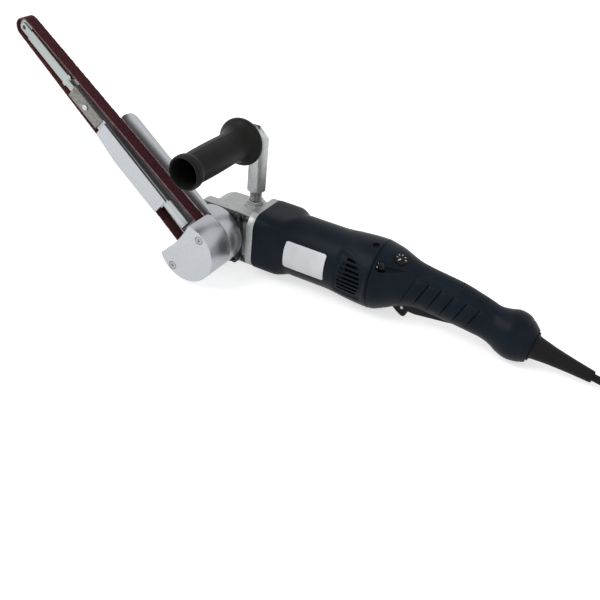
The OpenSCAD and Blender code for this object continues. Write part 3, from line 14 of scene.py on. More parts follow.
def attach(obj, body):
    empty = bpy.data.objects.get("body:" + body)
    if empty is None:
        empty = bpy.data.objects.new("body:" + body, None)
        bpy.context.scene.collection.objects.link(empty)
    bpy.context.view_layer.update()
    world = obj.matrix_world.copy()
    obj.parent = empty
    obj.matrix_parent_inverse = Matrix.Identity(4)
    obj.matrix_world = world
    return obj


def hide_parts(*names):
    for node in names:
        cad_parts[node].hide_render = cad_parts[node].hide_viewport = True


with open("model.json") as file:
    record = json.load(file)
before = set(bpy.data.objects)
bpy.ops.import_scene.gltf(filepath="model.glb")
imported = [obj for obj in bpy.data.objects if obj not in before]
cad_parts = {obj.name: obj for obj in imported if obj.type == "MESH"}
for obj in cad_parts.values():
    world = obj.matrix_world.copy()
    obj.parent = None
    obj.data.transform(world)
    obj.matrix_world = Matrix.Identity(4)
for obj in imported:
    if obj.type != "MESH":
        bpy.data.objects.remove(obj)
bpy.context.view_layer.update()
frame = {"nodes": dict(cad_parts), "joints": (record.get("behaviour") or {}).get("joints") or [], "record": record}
nodes = frame["nodes"]
joints = {joint["name"]: joint for joint in frame["joints"]}
mm = 0.001

# %% [markdown]
# Every size below is told from the point where the motor's axis crosses the spindle's axis. The
# joints of the frame give that point: the spindle's joint has its X, the armature's its Y and Z.

# %% The machine's own axes
crossing = Vector((joints["spindle_spin"]["pos_m"][0],
                   joints["armature_spin"]["pos_m"][1],
                   joints["armature_spin"]["pos_m"][2]))
to_drive = Vector(joints["tension_slide"]["axis"])
arm_along = -to_drive
arm_up = Vector((arm_along.z, 0, -arm_along.x))


def at(x, y, z):
    """A point given in millimetres from the crossing of the two axes."""
    return crossing + Vector((x, y, z)) * mm


def on_arm(along, up, depth):
    """A point on the arm: millimetres along it, up from its middle line, and out to the nose."""
    return crossing + (arm_along * along + arm_up * up + Vector((0, -depth, 0))) * mm


print("the axes cross at", [round(c, 4) for c in crossing])

# %% [markdown]
# The camera stands in front of the tool, a little to the cord's side and above it. Its place came
# from fitting the known lines of the tool to the photograph. A camera in Blender looks along its
# own -Z, so its matrix is made of three directions: right, up and back.

# %% Camera
camera_azimuth = math.radians(26.16)
camera_elevation = math.radians(33.24)
camera_roll = math.radians(6.11)
camera_eye = at(409.9, -660.1, 419.1)
image_size_px = 600
focal_px = 855.5

back = Vector((math.sin(camera_azimuth) * math.cos(camera_elevation),
               -math.cos(camera_azimuth) * math.cos(camera_elevation),
               math.sin(camera_elevation)))
level_right = Vector((math.cos(camera_azimuth), math.sin(camera_azimuth), 0))
level_up = back.cross(level_right)
right = level_right * math.cos(camera_roll) + level_up * math.sin(camera_roll)
up = back.cross(right)


def placed(name, data):
    """A new object in the scene."""
    thing = bpy.data.objects.new(name, data)
    bpy.context.scene.collection.objects.link(thing)
    return thing


camera_data = bpy.data.cameras.new("camera")
camera_data.sensor_fit = "HORIZONTAL"
camera_data.lens = camera_data.sensor_width * focal_px / image_size_px
camera = placed("camera", camera_data)
camera.matrix_world = Matrix((right, up, back)).transposed().to_4x4()
camera.matrix_world.translation = camera_eye
bpy.context.scene.camera = camera
print("lens:", round(camera_data.lens, 2), "mm")

# %% [markdown]
# The mains cord leaves the boot, drops to the floor and runs to a coil that lies out of view. A
# cord could be a mesh swept by hand, but a curve with a round bevel keeps its width in every bend.
# The lead's points were chosen one by one. The coil follows a rule: each layer spirals in or out
# and climbs in the half turn where the spiral reverses.

# %% The cord's route
cord_diameter = 7 * mm
cord_y = crossing.y
boot_tilt = math.radians(9)
boot_length = 58 * mm
collar = at(321.5, 0, -17.097)
boot_direction = Vector((math.cos(boot_tilt), 0, -math.sin(boot_tilt)))
boot_end = collar + boot_direction * boot_length

coil_x = 0.375
coil_turns = 2.5
coil_pitch = 0.0076
coil_radius = 0.048
coil_rise = 0.0076
coil_base = 0.0049
coil_layers = 4
coil_steps = 36
plug_radius = 0.017
plug_gap = 0.046

lead_xz = [(0.318, 0.006), (0.332, 0.005), (0.346, 0.0049), (0.360, 0.0049)]
lead = [boot_end, boot_end + boot_direction * cord_diameter]
lead += [Vector((x, cord_y, z)) for x, z in lead_xz]


def coil_point(turn):
    """A point of the coil after a number of turns."""
    fold = (turn / coil_turns) % 2
    radius = coil_radius - coil_pitch * coil_turns * min(fold, 2 - fold)
    climbs = [min(1, max(0, 2 * (turn - layer * coil_turns) + 0.5))
              for layer in range(1, coil_layers)]
    angle = 2 * math.pi * turn - math.pi / 2
    return Vector((coil_x + radius * math.cos(angle),
                   cord_y + coil_radius + radius * math.sin(angle),
                   coil_base + coil_rise * sum(climbs)))


coil_count = int(coil_layers * coil_turns * coil_steps)
coil = [coil_point(i / coil_steps) for i in range(coil_count + 1)]
coil_top = coil_base + (coil_layers - 1) * coil_rise
tail_xz = [(0.007, coil_top), (0.016, coil_top - 0.0014), (0.026, (coil_top + plug_radius) / 2),
           (0.036, plug_radius + 0.0014), (0.039, plug_radius), (plug_gap, plug_radius)]
tail = [Vector((coil_x + x, cord_y, z)) for x, z in tail_xz]
route = lead + coil + tail
print("cord points:", len(route))

# %% [markdown]
# A poly curve takes the points as they are, and its bevel makes it round.

# %% The cord as a curve
cord_curve = bpy.data.curves.new("mains_cord", "CURVE")
cord_curve.dimensions = "3D"
cord_curve.bevel_depth = cord_diameter / 2
cord_curve.bevel_resolution = 5
cord_curve.use_fill_caps = True
spline = cord_curve.splines.new("POLY")
spline.points.add(len(route) - 1)
for point, place in zip(spline.points, route):
    point.co = (*place, 1)
mains_cord = placed("mains_cord", cord_curve)

# %% [markdown]
# A screen's colours run from 0 to 255. A shader counts in linear light, so each is converted.

# %% Screen colours
def tone(red, green, blue):
    """A screen colour, 0 to 255, as the linear colour that a shader takes."""
    def linear(value):
        value /= 255
        return value / 12.92 if value <= 0.04045 else ((value + 0.055) / 1.055) ** 2.4
    return (linear(red), linear(green), linear(blue), 1)


# %% [markdown]
# An input of a shader node either holds a value or takes a link. Two helpers do both, so that each
# node below is one line.

# %% Helpers for nodes
def fill(tree, node, values):
    """Sets inputs of a node, and links those whose value is the output of another node."""
    for name, value in values.items():
        if isinstance(value, bpy.types.NodeSocket):
            tree.links.new(value, node.inputs[name])
        else:
            node.inputs[name].default_value = value
    return node


def add(tree, kind, values):
    """A new shader node with its inputs filled."""
    return fill(tree, tree.nodes.new("ShaderNode" + kind), values)


# %% [markdown]
# Each finish is a small node tree on Object coordinates, so a pattern stays put on its piece. A
# flat colour never looks real, so every finish mixes two close tones by noise, and gets its grain
# as a bump. The class holds what all finishes share, and two_tone is the common recipe.

# %% Helpers for finishes
class Finish:
    """A material with a Principled shader and the few nodes that most finishes share."""

    def __init__(self, name, metallic=0.0, roughness=0.5, specular=0.5):
        self.material = bpy.data.materials.new(name)
        self.material.use_nodes = True
        self.tree = self.material.node_tree
        self.coordinates = add(self.tree, "TexCoord", {}).outputs["Object"]
        self.set({"Metallic": metallic, "Roughness": roughness, "Specular IOR Level": specular})

    def set(self, values):
        fill(self.tree, self.tree.nodes["Principled BSDF"], values)

    def noise(self, scale, detail, stretch=None):
        """Noise on coordinates that may be stretched along the axes."""
        place = self.coordinates
        if stretch:
            place = add(self.tree, "Mapping", {"Scale": stretch, "Vector": place}).outputs["Vector"]
        values = {"Scale": scale, "Detail": detail, "Vector": place}
        return add(self.tree, "TexNoise", values).outputs["Fac"]

    def ramp(self, factor, *stops):
        """A colour ramp with (place, colour) stops."""
        node = add(self.tree, "ValToRGB", {"Fac": factor})
        elements = node.color_ramp.elements
        while len(elements) < len(stops):
            elements.new(0.5)
        for element, (place, colour) in zip(elements, stops):
            element.position = place
            element.color = colour
        return node.outputs["Color"]

    def roughness(self, factor, low, high):
        values = {"Value": factor, "To Min": low, "To Max": high}
        self.set({"Roughness": add(self.tree, "MapRange", values).outputs["Result"]})

    def bump(self, height, strength, distance):
        values = {"Height": height, "Strength": strength, "Distance": distance}
        self.set({"Normal": add(self.tree, "Bump", values).outputs["Normal"]})


grain_height = 0.2 * mm


def two_tone(name, dark, light, scale, metallic, rough, grain_scale, grain, stretch=None,
             specular=0.5):
    """The common recipe: two close tones, uneven gloss and a fine grain."""
    finish = Finish(name, metallic, specular=specular)
    patches = finish.noise(scale, 5, stretch)
    finish.set({"Base Color": finish.ramp(patches, (0.35, tone(*dark)), (0.65, tone(*light)))})
    finish.roughness(patches, *rough)
    finish.bump(finish.noise(grain_scale, 2, stretch), grain, grain_height)
    return finish


# %% [markdown]
# The machine's body is fine-grained plastic, so dark a blue that it reads as black in the shade.
# Its surface is dull, so its shader's specular level is low. A glossy shader would turn it grey
# under a white sky. Black pieces follow the same recipe, each with a tone and a grain of its own.

# %% Plastic and rubber
patch_scale = 60
pebble_scale = 3200


def dull(name, dark, light, rough, grain, specular=0.16):
    """Moulded plastic or rubber: two close dark tones and a fine pebble grain."""
    return two_tone(name, dark, light, patch_scale, 0, rough, pebble_scale, grain,
                    specular=specular)


finishes = {
    "housing_plastic": dull("moulded_navy", (14, 22, 31), (19, 28, 38), (0.38, 0.46), 0.16, 0.09),
    "grip_plastic": dull("moulded_charcoal", (22, 21, 21), (28, 27, 26), (0.42, 0.52), 0.2, 0.11),
    "black_plastic": dull("moulded_black", (15, 13, 13), (22, 19, 18), (0.42, 0.5), 0.14),
    "boot_rubber": dull("soft_rubber", (12, 11, 11), (18, 17, 16), (0.5, 0.62), 0.12),
    "cord_jacket": dull("cord_rubber", (13, 13, 14), (19, 19, 20), (0.5, 0.6), 0.08),
    "tyre_rubber": dull("ground_rubber", (26, 26, 28), (40, 39, 39), (0.7, 0.85), 0.4),
    "carbon": dull("pressed_carbon", (38, 38, 39), (52, 52, 52), (0.6, 0.75), 0.25, 0.3),
    "label": dull("bare_plate", (222, 226, 230), (234, 237, 240), (0.3, 0.38), 0.02, 0.5),
    "plate_dark": dull("painted_plate", (26, 30, 31), (35, 39, 40), (0.4, 0.5), 0.15, 0.2),
}
print("plastic and rubber finishes:", len(finishes))

# %% [markdown]
# Metal shows mostly what it mirrors. The tones below are therefore close together, and the pieces
# are told apart by gloss and by grain: castings are rough and pebbled, plates are blasted, turned
# parts are smoother, and the laminated core and the windings have a grain in one direction.

# %% Metal finishes
metals = {
    "cast_alloy": ("cast_alloy", (158, 162, 161), (173, 177, 176), 260, 0.9,
                   (0.42, 0.54), 1500, 0.25),
    "alloy": ("blasted_alloy", (174, 177, 181), (181, 184, 188), 500, 1, (0.33, 0.40), 2600, 0.08),
    "hub_alloy": ("turned_alloy", (150, 152, 156), (166, 168, 172), 300, 1, (0.3, 0.42), 2500, 0.1),
    "steel": ("ground_steel", (160, 165, 164), (172, 177, 176), 700, 1, (0.30, 0.40), 2400, 0.12),
    "bearing_steel": ("bearing_steel", (186, 188, 191), (204, 206, 209), 300, 1,
                      (0.16, 0.26), 2000, 0.04),
    "core_steel": ("laminated_steel", (96, 97, 102), (138, 139, 144), 120, 0.8,
                   (0.4, 0.55), 900, 0.4, (40, 1, 1)),
    "bracket_steel": ("plated_steel", (180, 183, 183), (194, 197, 196), 350, 1,
                      (0.30, 0.40), 2200, 0.1),
    "stud_steel": ("turned_steel", (112, 110, 106), (138, 136, 131), 350, 1,
                   (0.3, 0.42), 2000, 0.1),
    "screw_steel": ("blackened_steel", (52, 54, 57), (72, 74, 77), 350, 0.9,
                    (0.34, 0.46), 2000, 0.08),
    "bronze": ("bush_bronze", (150, 112, 62), (176, 136, 82), 200, 0.9, (0.35, 0.5), 1500, 0.15),
    "copper": ("wound_copper", (150, 82, 44), (186, 110, 64), 400, 0.8,
               (0.3, 0.45), 1200, 0.4, (1, 14, 14)),
}
for slot, recipe in metals.items():
    finishes[slot] = two_tone(*recipe)
print("finishes:", len(finishes))

# %% [markdown]
# The abrasive belt is coated cloth: maroon grit on the outside, glued in a dense layer with darker
# gaps. Its cut edges are pale and dusty, and the bare cloth shows inside. A cell texture gives the
# grains. Edge and inside follow the belt's own UV map, whose U runs round the section.

# %% Abrasive belt finish
grit_scale, shade_scale = 1300, 420
belt_finish = Finish("abrasive_grit", roughness=0.85, specular=0.2)
belt_tree = belt_finish.tree
grit = add(belt_tree, "TexVoronoi", {"Scale": grit_scale, "Vector": belt_finish.coordinates})
grain = grit.outputs["Distance"]
shade = belt_finish.noise(shade_scale, 6)


def blended(factor, first, second):
    """Two colours mixed by a factor, which is a number or an output."""
    node = belt_tree.nodes.new("ShaderNodeMix")
    node.data_type = "RGBA"
    return fill(belt_tree, node, {"Factor": factor, "A": first, "B": second}).outputs["Result"]


grain_colour = belt_finish.ramp(grain, (0.1, tone(74, 26, 34)), (0.7, tone(32, 9, 14)))
shade_colour = belt_finish.ramp(shade, (0.36, tone(40, 11, 18)), (0.64, tone(82, 34, 42)))
edge_colour = belt_finish.ramp(shade, (0.35, tone(104, 70, 72)), (0.65, tone(152, 114, 112)))
cloth_colour = belt_finish.ramp(shade, (0.35, tone(62, 28, 33)), (0.65, tone(98, 54, 56)))
black, white = (0, 0, 0, 1), (1, 1, 1, 1)
belt_uv = add(belt_tree, "UVMap", {}).outputs["UV"]
round_section = add(belt_tree, "SeparateXYZ", {"Vector": belt_uv}).outputs["X"]
cloth_share = belt_finish.ramp(round_section, (0.08, white), (0.13, black),
                               (0.70, black), (0.74, white))
inside_share = belt_finish.ramp(round_section, (0.81, black), (0.83, white))
gritty = blended(0.5, grain_colour, shade_colour)
bare = blended(inside_share, edge_colour, cloth_colour)
belt_finish.set({"Base Color": blended(cloth_share, gritty, bare)})
belt_finish.bump(grain, 0.8, 0.4 * mm)
finishes["abrasive"] = belt_finish
print("belt finish nodes:", len(belt_tree.nodes))

# %% [markdown]
# Each solid names the slot that its finish comes from. Every node is dressed here, so the pieces
# that are never replaced, such as the gears inside the head, have a finish too.

# %% Dress the solids
slot_of = {part["node"]: part["material_slot"] for part in frame["record"]["subparts"]}


def dress(piece, slot):
    """Puts a finish on the whole piece."""
    piece.data.materials.clear()
    piece.data.materials.append(finishes[slot].material)


for node_name, node in nodes.items():
    dress(node, slot_of[node_name])
print("dressed nodes:", len(slot_of))

# %% [markdown]
# The stage is a white floor under soft light. The floor is a plain plane whose paper-white colour
# is partly its own glow for the camera and for mirror-like surfaces, so it reads as white while it
# still takes a faint shadow.

# %% Floor
def seen_rays(tree):
    """One for the rays that show a surface, to the camera, in a mirror or through glass."""
    rays = add(tree, "LightPath", {}).outputs
    seen = rays["Is Camera Ray"]
    for other in ("Is Glossy Ray", "Is Transmission Ray"):
        either = add(tree, "Math", {0: seen, 1: rays[other]})
        either.operation = "MAXIMUM"
        seen = either.outputs[0]
    return seen


floor_size = 8
floor_drop = 0.4 * mm
paper_grey = 0.8
paper_glow = 0.62
bpy.ops.mesh.primitive_plane_add(size=floor_size, location=(0, 0, -floor_drop))
floor = bpy.context.object
floor.name = "floor"
floor_finish = Finish("white_floor")
tree = floor_finish.tree
paper = add(tree, "BsdfDiffuse", {"Color": (paper_grey, paper_grey, paper_grey, 1)}).outputs[0]
glow = add(tree, "Emission", {"Strength": paper_glow}).outputs[0]
both = add(tree, "AddShader", {0: paper, 1: glow}).outputs[0]
mixed = add(tree, "MixShader", {0: seen_rays(tree), 1: paper, 2: both}).outputs[0]
fill(tree, tree.nodes["Material Output"], {"Surface": mixed})
floor.data.materials.append(floor_finish.material)
print("floor:", floor_size, "m wide")

# %% [markdown]
# The sky is white too where it is seen or mirrored, and it lights the pieces with half of that.
# One broad lamp from the upper left models the forms, and a weak one fills in. Small lamps would
# draw hard shadows.

# %% Sky and lamps
sky_light, sky_seen = 0.5, 1.0
world = bpy.data.worlds.new("soft_room")
world.use_nodes = True
tree = world.node_tree
sky_levels = {"Value": seen_rays(tree), "To Min": sky_light, "To Max": sky_seen}
sky_level = add(tree, "MapRange", sky_levels).outputs["Result"]
fill(tree, tree.nodes["Background"], {"Color": (1, 1, 1, 1), "Strength": sky_level})
bpy.context.scene.world = world
bpy.context.scene.view_settings.view_transform = "Standard"


def lamp(name, place, aim, size, power):
    """A square lamp that looks at a point."""
    data = bpy.data.lights.new(name, "AREA")
    data.size = size
    data.energy = power
    light = placed(name, data)
    light.location = place
    light.rotation_euler = (Vector(aim) - Vector(place)).to_track_quat("-Z", "Y").to_euler()


tool_middle = (0, 0, 0.05)
lamp("key_lamp", (-0.9, -0.9, 1.5), tool_middle, size=1.0, power=16)
lamp("fill_lamp", (1.3, -0.9, 1.0), tool_middle, size=1.2, power=3)
print("lamps:", len(bpy.data.lights))

# %% [markdown]
# Each finished piece is settled in the same way: it is shaded smooth except at sharp edges, it
# gets its finish, the solids that it stands for are hidden, and it is hung on the body it rides on.

# %% Settling a piece
bodies = frame["record"]["behaviour"]["bodies"]
body_of = {name: body for body, names in bodies.items() for name in names}


def only(piece):
    """Makes one piece the selected and active one."""
    bpy.ops.object.select_all(action="DESELECT")
    piece.select_set(True)
    bpy.context.view_layer.objects.active = piece


def settle(piece, *stands_for, slot=None, smooth=35):
    """Smooths a finished piece, dresses it, lets it stand for its solids and counts its faces."""
    only(piece)
    bpy.ops.object.shade_smooth_by_angle(angle=math.radians(smooth))
    slot = slot or slot_of[stands_for[0]]
    dress(piece, slot)
    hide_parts(*stands_for)
    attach(piece, body_of[stands_for[0]])
    print(piece.name + ":", len(piece.data.polygons), "faces")
    return piece


print("solids on bodies:", len(body_of))

# %% [markdown]
# A machined or moulded edge is never knife-sharp: it is broken by a small radius that catches
# light. Drawing each radius by hand would take days. A copy of the solid is cleaned instead, its
# coplanar triangles are joined into whole faces, and a bevel modifier rounds each edge that turns
# sharply.

# %% Rounded copies of solids
merge_distance = 0.01 * mm
flat_angle = math.radians(0.3)


def opened(piece):
    """Opens a piece for editing with all of its mesh selected."""
    only(piece)
    bpy.ops.object.mode_set(mode="EDIT")
    bpy.ops.mesh.select_all(action="SELECT")


def clean_copy(node_name):
    """The solid's mesh with its doubled points joined and its flat areas made whole."""
    piece = placed(node_name + "_finished", nodes[node_name].data.copy())
    opened(piece)
    bpy.ops.mesh.customdata_custom_splitnormals_clear()
    bpy.ops.mesh.remove_doubles(threshold=merge_distance)
    bpy.ops.mesh.dissolve_limited(angle_limit=flat_angle)
    bpy.ops.object.mode_set(mode="OBJECT")
    return piece


def bevelled(piece, width, segments=2, angle=35):
    """Rounds the edges that turn more than the angle, width in millimetres."""
    only(piece)
    bevel = piece.modifiers.new("edge", "BEVEL")
    bevel.width = width * mm
    bevel.segments = segments
    bevel.limit_method = "ANGLE"
    bevel.angle_limit = math.radians(angle)
    bpy.ops.object.modifier_apply(modifier="edge")
    return piece


edge_radii = {
    "gear_housing": 1.0, "bearing_plate": 0.6, "bearing_plate_screws": 0.3, "flange_screws": 0.3,
    "clamp_ring": 0.5, "clamp_screw": 0.3, "drive_cover": 0.6, "cover_screws": 0.25, "arm_bar": 0.5,
    "guide_plate": 0.6, "guide_screw": 0.3, "contact_arm": 0.4, "idler_roller": 0.3,
    "idler_pin": 0.2, "stud_nut": 0.4, "wheel_nut": 0.4, "drive_hub": 0.4, "drive_tyre": 0.5,
    "grip_bolt": 0.4, "arm_screws": 0.25, "handle_screws": 0.25, "coil_tie": 0.3, "plug_pins": 0.6,
    "paddle": 0.8, "speed_dial": 0.2, "plug_body": 1.0,
}
# The handle screws take the dark plate finish, which is painted shade: their steel is darkened to the shade of the
# deep recesses they sit in.
other_slots = {
    "guide_screw": "bearing_steel", "guide_plate": "stud_steel", "cover_screws": "hub_alloy",
    "idler_pin": "screw_steel", "handle_screws": "plate_dark",
}
for node_name, radius in edge_radii.items():
    piece = bevelled(clean_copy(node_name), radius)
    settle(piece, node_name, slot=other_slots.get(node_name))

# %% [markdown]
# The big mouldings are lofts. A flat grid is rolled into a tube: its rows become stations along an
# axis and its columns run round it. The seam is then merged and the ends are filled. The rule that
# places the points also presses grooves and dents into this even skin.

# %% Lofting helpers
seam_distance = 0.001 * mm


def faced_out(piece):
    """Turns all the faces of a piece outward."""
    opened(piece)
    bpy.ops.mesh.normals_make_consistent(inside=False)
    bpy.ops.object.mode_set(mode="OBJECT")
    return piece


def skin(name, stations, point_at, around=180, capped=True):
    """Rolls a grid into a tube. point_at(station, angle) gives each point."""
    bpy.ops.mesh.primitive_grid_add(x_subdivisions=around, y_subdivisions=len(stations) - 1)
    piece = bpy.context.object
    piece.name = name
    for index, vertex in enumerate(piece.data.vertices):
        row, column = divmod(index, around + 1)
        vertex.co = point_at(stations[row], 2 * math.pi * column / around)
    opened(piece)
    bpy.ops.mesh.remove_doubles(threshold=seam_distance)
    if capped:
        bpy.ops.mesh.fill_holes(sides=0)
    bpy.ops.object.mode_set(mode="OBJECT")
    return faced_out(piece)


# %% [markdown]
# Two kinds of rule shape a loft. A table holds its main sizes at a few stations, and eased draws
# smooth curves through them. Rises and humps add what is pressed in or stands out.

# %% Smooth curves
def eased(table, x):
    """Values at x from rows of (x, values), along smooth curves through the rows."""
    last = len(table) - 1
    k = max(0, min(last - 1, sum(1 for row in table if row[0] <= x) - 1))
    stretch = table[k + 1][0] - table[k][0]
    t = min(1, max(0, (x - table[k][0]) / stretch))

    def slope(i, column):
        low, high = table[max(0, i - 1)], table[min(last, i + 1)]
        return (high[column] - low[column]) / (high[0] - low[0]) * stretch

    values = []
    for column in range(1, len(table[0])):
        a, b = table[k][column], table[k + 1][column]
        values.append((2 * t ** 3 - 3 * t ** 2 + 1) * a
                      + (t ** 3 - 2 * t ** 2 + t) * slope(k, column)
                      + (3 * t ** 2 - 2 * t ** 3) * b + (t ** 3 - t ** 2) * slope(k + 1, column))
    return values


def rise(low, high, value):
    """Goes from nought to one between two values, with no kink at either end."""
    share = min(1, max(0, (value - low) / (high - low)))
    return share * share * (3 - 2 * share)


def hump(value, width):
    """A smooth bump of height one about nought."""
    return math.exp(-(value / width) ** 2)


def span(start, end, step):
    """Evenly spaced stations, both ends included."""
    count = max(1, round((end - start) / step))
    return [start + (end - start) * i / count for i in range(count + 1)]


# %% [markdown]
# Holes and slots are cut as on a bench: a tool of the hole's form is taken out of the piece, here
# by a boolean modifier. All the tools of a piece go in at once, because each boolean can leave
# slivers.

# %% Cutting helpers
def box(corner, size):
    """A box from its low corner, in millimetres from the crossing of the axes."""
    middle = [c + s / 2 for c, s in zip(corner, size)]
    bpy.ops.mesh.primitive_cube_add(size=1, location=at(*middle), scale=[s * mm for s in size])
    bpy.ops.object.transform_apply(location=True, rotation=False, scale=True)
    return bpy.context.object


def rod(start, end, radius, sides=48):
    """A round rod between two points, radius in millimetres."""
    axis = end - start
    bpy.ops.mesh.primitive_cylinder_add(
        vertices=sides, radius=radius * mm, depth=axis.length, location=(start + end) / 2,
        rotation=axis.to_track_quat("Z", "Y").to_euler())
    bpy.ops.object.transform_apply(location=True, rotation=True, scale=False)
    return bpy.context.object


def cut(piece, tools):
    """Takes all the tools out of a piece at once and throws them away."""
    tray = bpy.data.collections.new("tools")
    for tool in tools:
        tray.objects.link(tool)
    only(piece)
    boolean = piece.modifiers.new("cut", "BOOLEAN")
    boolean.operand_type = "COLLECTION"
    boolean.collection = tray
    boolean.solver = "EXACT"
    bpy.ops.object.modifier_apply(modifier="cut")
    for tool in tools:
        bpy.data.objects.remove(tool)
    bpy.data.collections.remove(tray)
    return piece


# %% [markdown]
# The motor housing is square at the gear head, where four screws sit in its corners, and round
# over the motor. Behind the motor it flares, and on each side a drop-shaped dish under a ridge
# holds the cooling slots. A rounded copy of the solid would keep a hard step between square and
# round. So the housing is lofted, and each ring is a curve between a circle and a square, set by
# its power.

# %% Motor housing
housing_table = [
    (41.0, 30.0, 4.7), (50.0, 30.0, 4.7), (60.0, 30.1, 4.6), (67.0, 30.3, 4.1), (72.0, 30.6, 3.0),
    (77.0, 30.9, 2.1), (84.0, 31.0, 2.0), (110.0, 31.0, 2.0), (122.0, 31.1, 2.0),
    (132.0, 32.0, 2.0), (142.0, 33.1, 2.0), (152.0, 33.9, 2.0), (160.0, 34.25, 2.0),
    (168.0, 34.3, 2.0)]
housing_inside = [(39.0, 27.0, 4.7), (72.0, 27.0, 4.7), (76.0, 28.0, 2.0), (122.0, 28.0, 2.0),
                  (154.0, 31.3, 2.0), (170.0, 31.3, 2.0)]


def side_angle(angle):
    """Degrees up from the middle of the nearer side, alike on both sides."""
    turn = math.degrees(angle) % 360
    return turn if turn <= 90 else 180 - turn if turn <= 270 else turn - 360


def ring_point(x, half, power, angle):
    """A point of a ring round the motor's axis, from the near side upward."""
    y, z = -math.cos(angle), math.sin(angle)
    reach = half * (abs(y) ** power + abs(z) ** power) ** (-1 / power)
    return at(x, y * reach, z * reach)


seam_step = 1.2
dish_depth = 1.7
crest_height = 0.5


def housing_point(x, angle):
    half, power = eased(housing_table, x)
    up = side_angle(angle)
    ridge = 56 - 0.76 * (x - 132)
    right_end = 165.5 - 0.0028 * (up - 2) ** 2
    dish = (rise(131, 136, x) * rise(0, 6, ridge - 3 - up) * rise(0, 2.5, right_end - x)
            * rise(-36, -27, up))
    crest = hump(up - ridge, 3.2) * rise(128, 136, x) * rise(168, 164, x)
    ends = rise(42.2, 41, x) + seam_step * rise(166.8, 168, x)
    return ring_point(x, half - ends - dish_depth * dish + crest_height * crest, power, angle)


housing_rows = [41, 41.4, 41.8] + span(42.2, 128, 1.4) + span(128.7, 166, 0.7)
housing_rows += [166.6, 167, 167.5, 168]
motor_shell = skin("motor_shell", housing_rows, housing_point)
inside = skin("inside", [row[0] for row in housing_inside],
              lambda x, angle: ring_point(x, *eased(housing_inside, x), angle), around=64)
print("housing loft:", len(motor_shell.data.polygons), "faces")

# %% [markdown]
# The fan's air passes through slots whose lengths follow the dish. They could be dents in the
# loft, but a real slot goes through the wall. So rounded boxes are cut out, together with the
# hollow inside and a small recess on top.

# %% Cooling slots
slot_starts = (136, 136, 136, 136.5, 137, 138, 139.5, 142)
slot_ends = (157, 159, 160, 160, 159.5, 158, 155.5, 152)
slot_sides = (-40, 18)
slot_lowest, slot_pitch, slot_height, slot_depth = -13, 4.4, 2.6, 22
slots = [inside]
for row, (start, end) in enumerate(zip(slot_starts, slot_ends)):
    for side_y in slot_sides:
        corner = (start, side_y, slot_lowest + slot_pitch * row)
        block = box(corner, (end - start, slot_depth, slot_height))
        slots.append(bevelled(block, 1.0, segments=3))
recess_foot, recess_top, recess_radius = at(162, -7.7, 31.1), at(162, -9.5, 40), 3.3
slots.append(rod(recess_foot, recess_top, recess_radius))
cut(motor_shell, slots)
settle(motor_shell, "motor_housing")

# %% [markdown]
# The handle is two moulded halves that meet on the middle plane. Its form swells from the housing
# to a slim waist and ends in a ball. A spine runs along the top with a shallow valley on each
# side, and the side panels have leaning grooves for the fingers. It could be sculpted, but rules
# keep the grooves even and both sides alike.

# %% Handle form
seam_x = 168.0
handle_length = 153.5
handle_shares = [
    (0, 1, 1, 0), (0.029, 0.972, 0.972, 0), (0.095, 0.863, 0.877, -0.122),
    (0.154, 0.731, 0.766, -0.203), (0.215, 0.629, 0.678, -0.211), (0.284, 0.561, 0.629, -0.187),
    (0.407, 0.538, 0.611, -0.041), (0.526, 0.526, 0.599, 0.122), (0.644, 0.503, 0.564, 0.39),
    (0.71, 0.491, 0.544, 0.57), (0.762, 0.509, 0.55, 0.8), (0.814, 0.594, 0.614, 0.965),
    (0.873, 0.672, 0.678, 1), (0.932, 0.645, 0.65, 1.06), (0.977, 0.545, 0.553, 1.2),
    (1.035, 0.35, 0.36, 1.4)]
handle_half = 34.2
handle_drop = 12.3
handle_table = [(seam_x + s * handle_length, w * handle_half, h * handle_half, -d * handle_drop)
                for s, w, h, d in handle_shares]
groove_pitch = 12.7
groove_starts = [202 + groove_pitch * i for i in range(6)]
groove_deep = 1.4
nick_places = (213, 237, 248, 259, 272)
nick_deep = 1.2


def groove_depth(x, z, up):
    """Depth of the finger grooves at a height over the handle's middle line."""
    lean = x - 0.42 * z
    lines = sum(hump(lean - start, 0.8) for start in groove_starts)
    swell = 0.45 * math.sin(math.pi * (lean - groove_starts[0]) / groove_pitch) ** 2
    on_panel = rise(199, 203, lean) * rise(270, 266, lean) * rise(-36, -14, up) * rise(45, 39, up)
    return on_panel * (groove_deep * lines - swell)


def handle_inset(x, z, angle):
    """Everything that is pressed into the plain form of the handle."""
    up = side_angle(angle)
    valley = 0.9 * hump(up - 50, 8) * rise(194, 208, x) * rise(292, 280, x)
    nicks = sum(hump(x - place, 0.8) for place in nick_places) * nick_deep * rise(68, 78, up)
    parting = 0.3 * rise(88.6, 90, abs(up))
    ring = 0.45 * hump(x - 315.6, 0.6)
    step = seam_step * rise(169.2, 168, x)
    return valley + nicks + parting + ring + groove_depth(x, z, up) + step


def oval_point(x, angle, inset):
    """A point of the handle's plain form, moved in by an inset."""
    half_y, half_z, middle_z = eased(handle_table, x)
    y, z = (half_y - inset) * math.cos(angle), (half_z - inset) * math.sin(angle)
    return at(x, -y, middle_z + z)


def handle_point(x, angle):
    half_z = eased(handle_table, x)[1]
    return oval_point(x, angle, handle_inset(x, half_z * math.sin(angle), angle))


print("finger grooves:", len(groove_starts), "nicks:", len(nick_places))

# %% [markdown]
# One skin is lofted, hollowed and cut, and it is parted last, so both halves match along the whole
# seam as they do in a mould. The counts round the lofts are chosen so that no point lies on the
# middle plane, because a cut through points can tear.

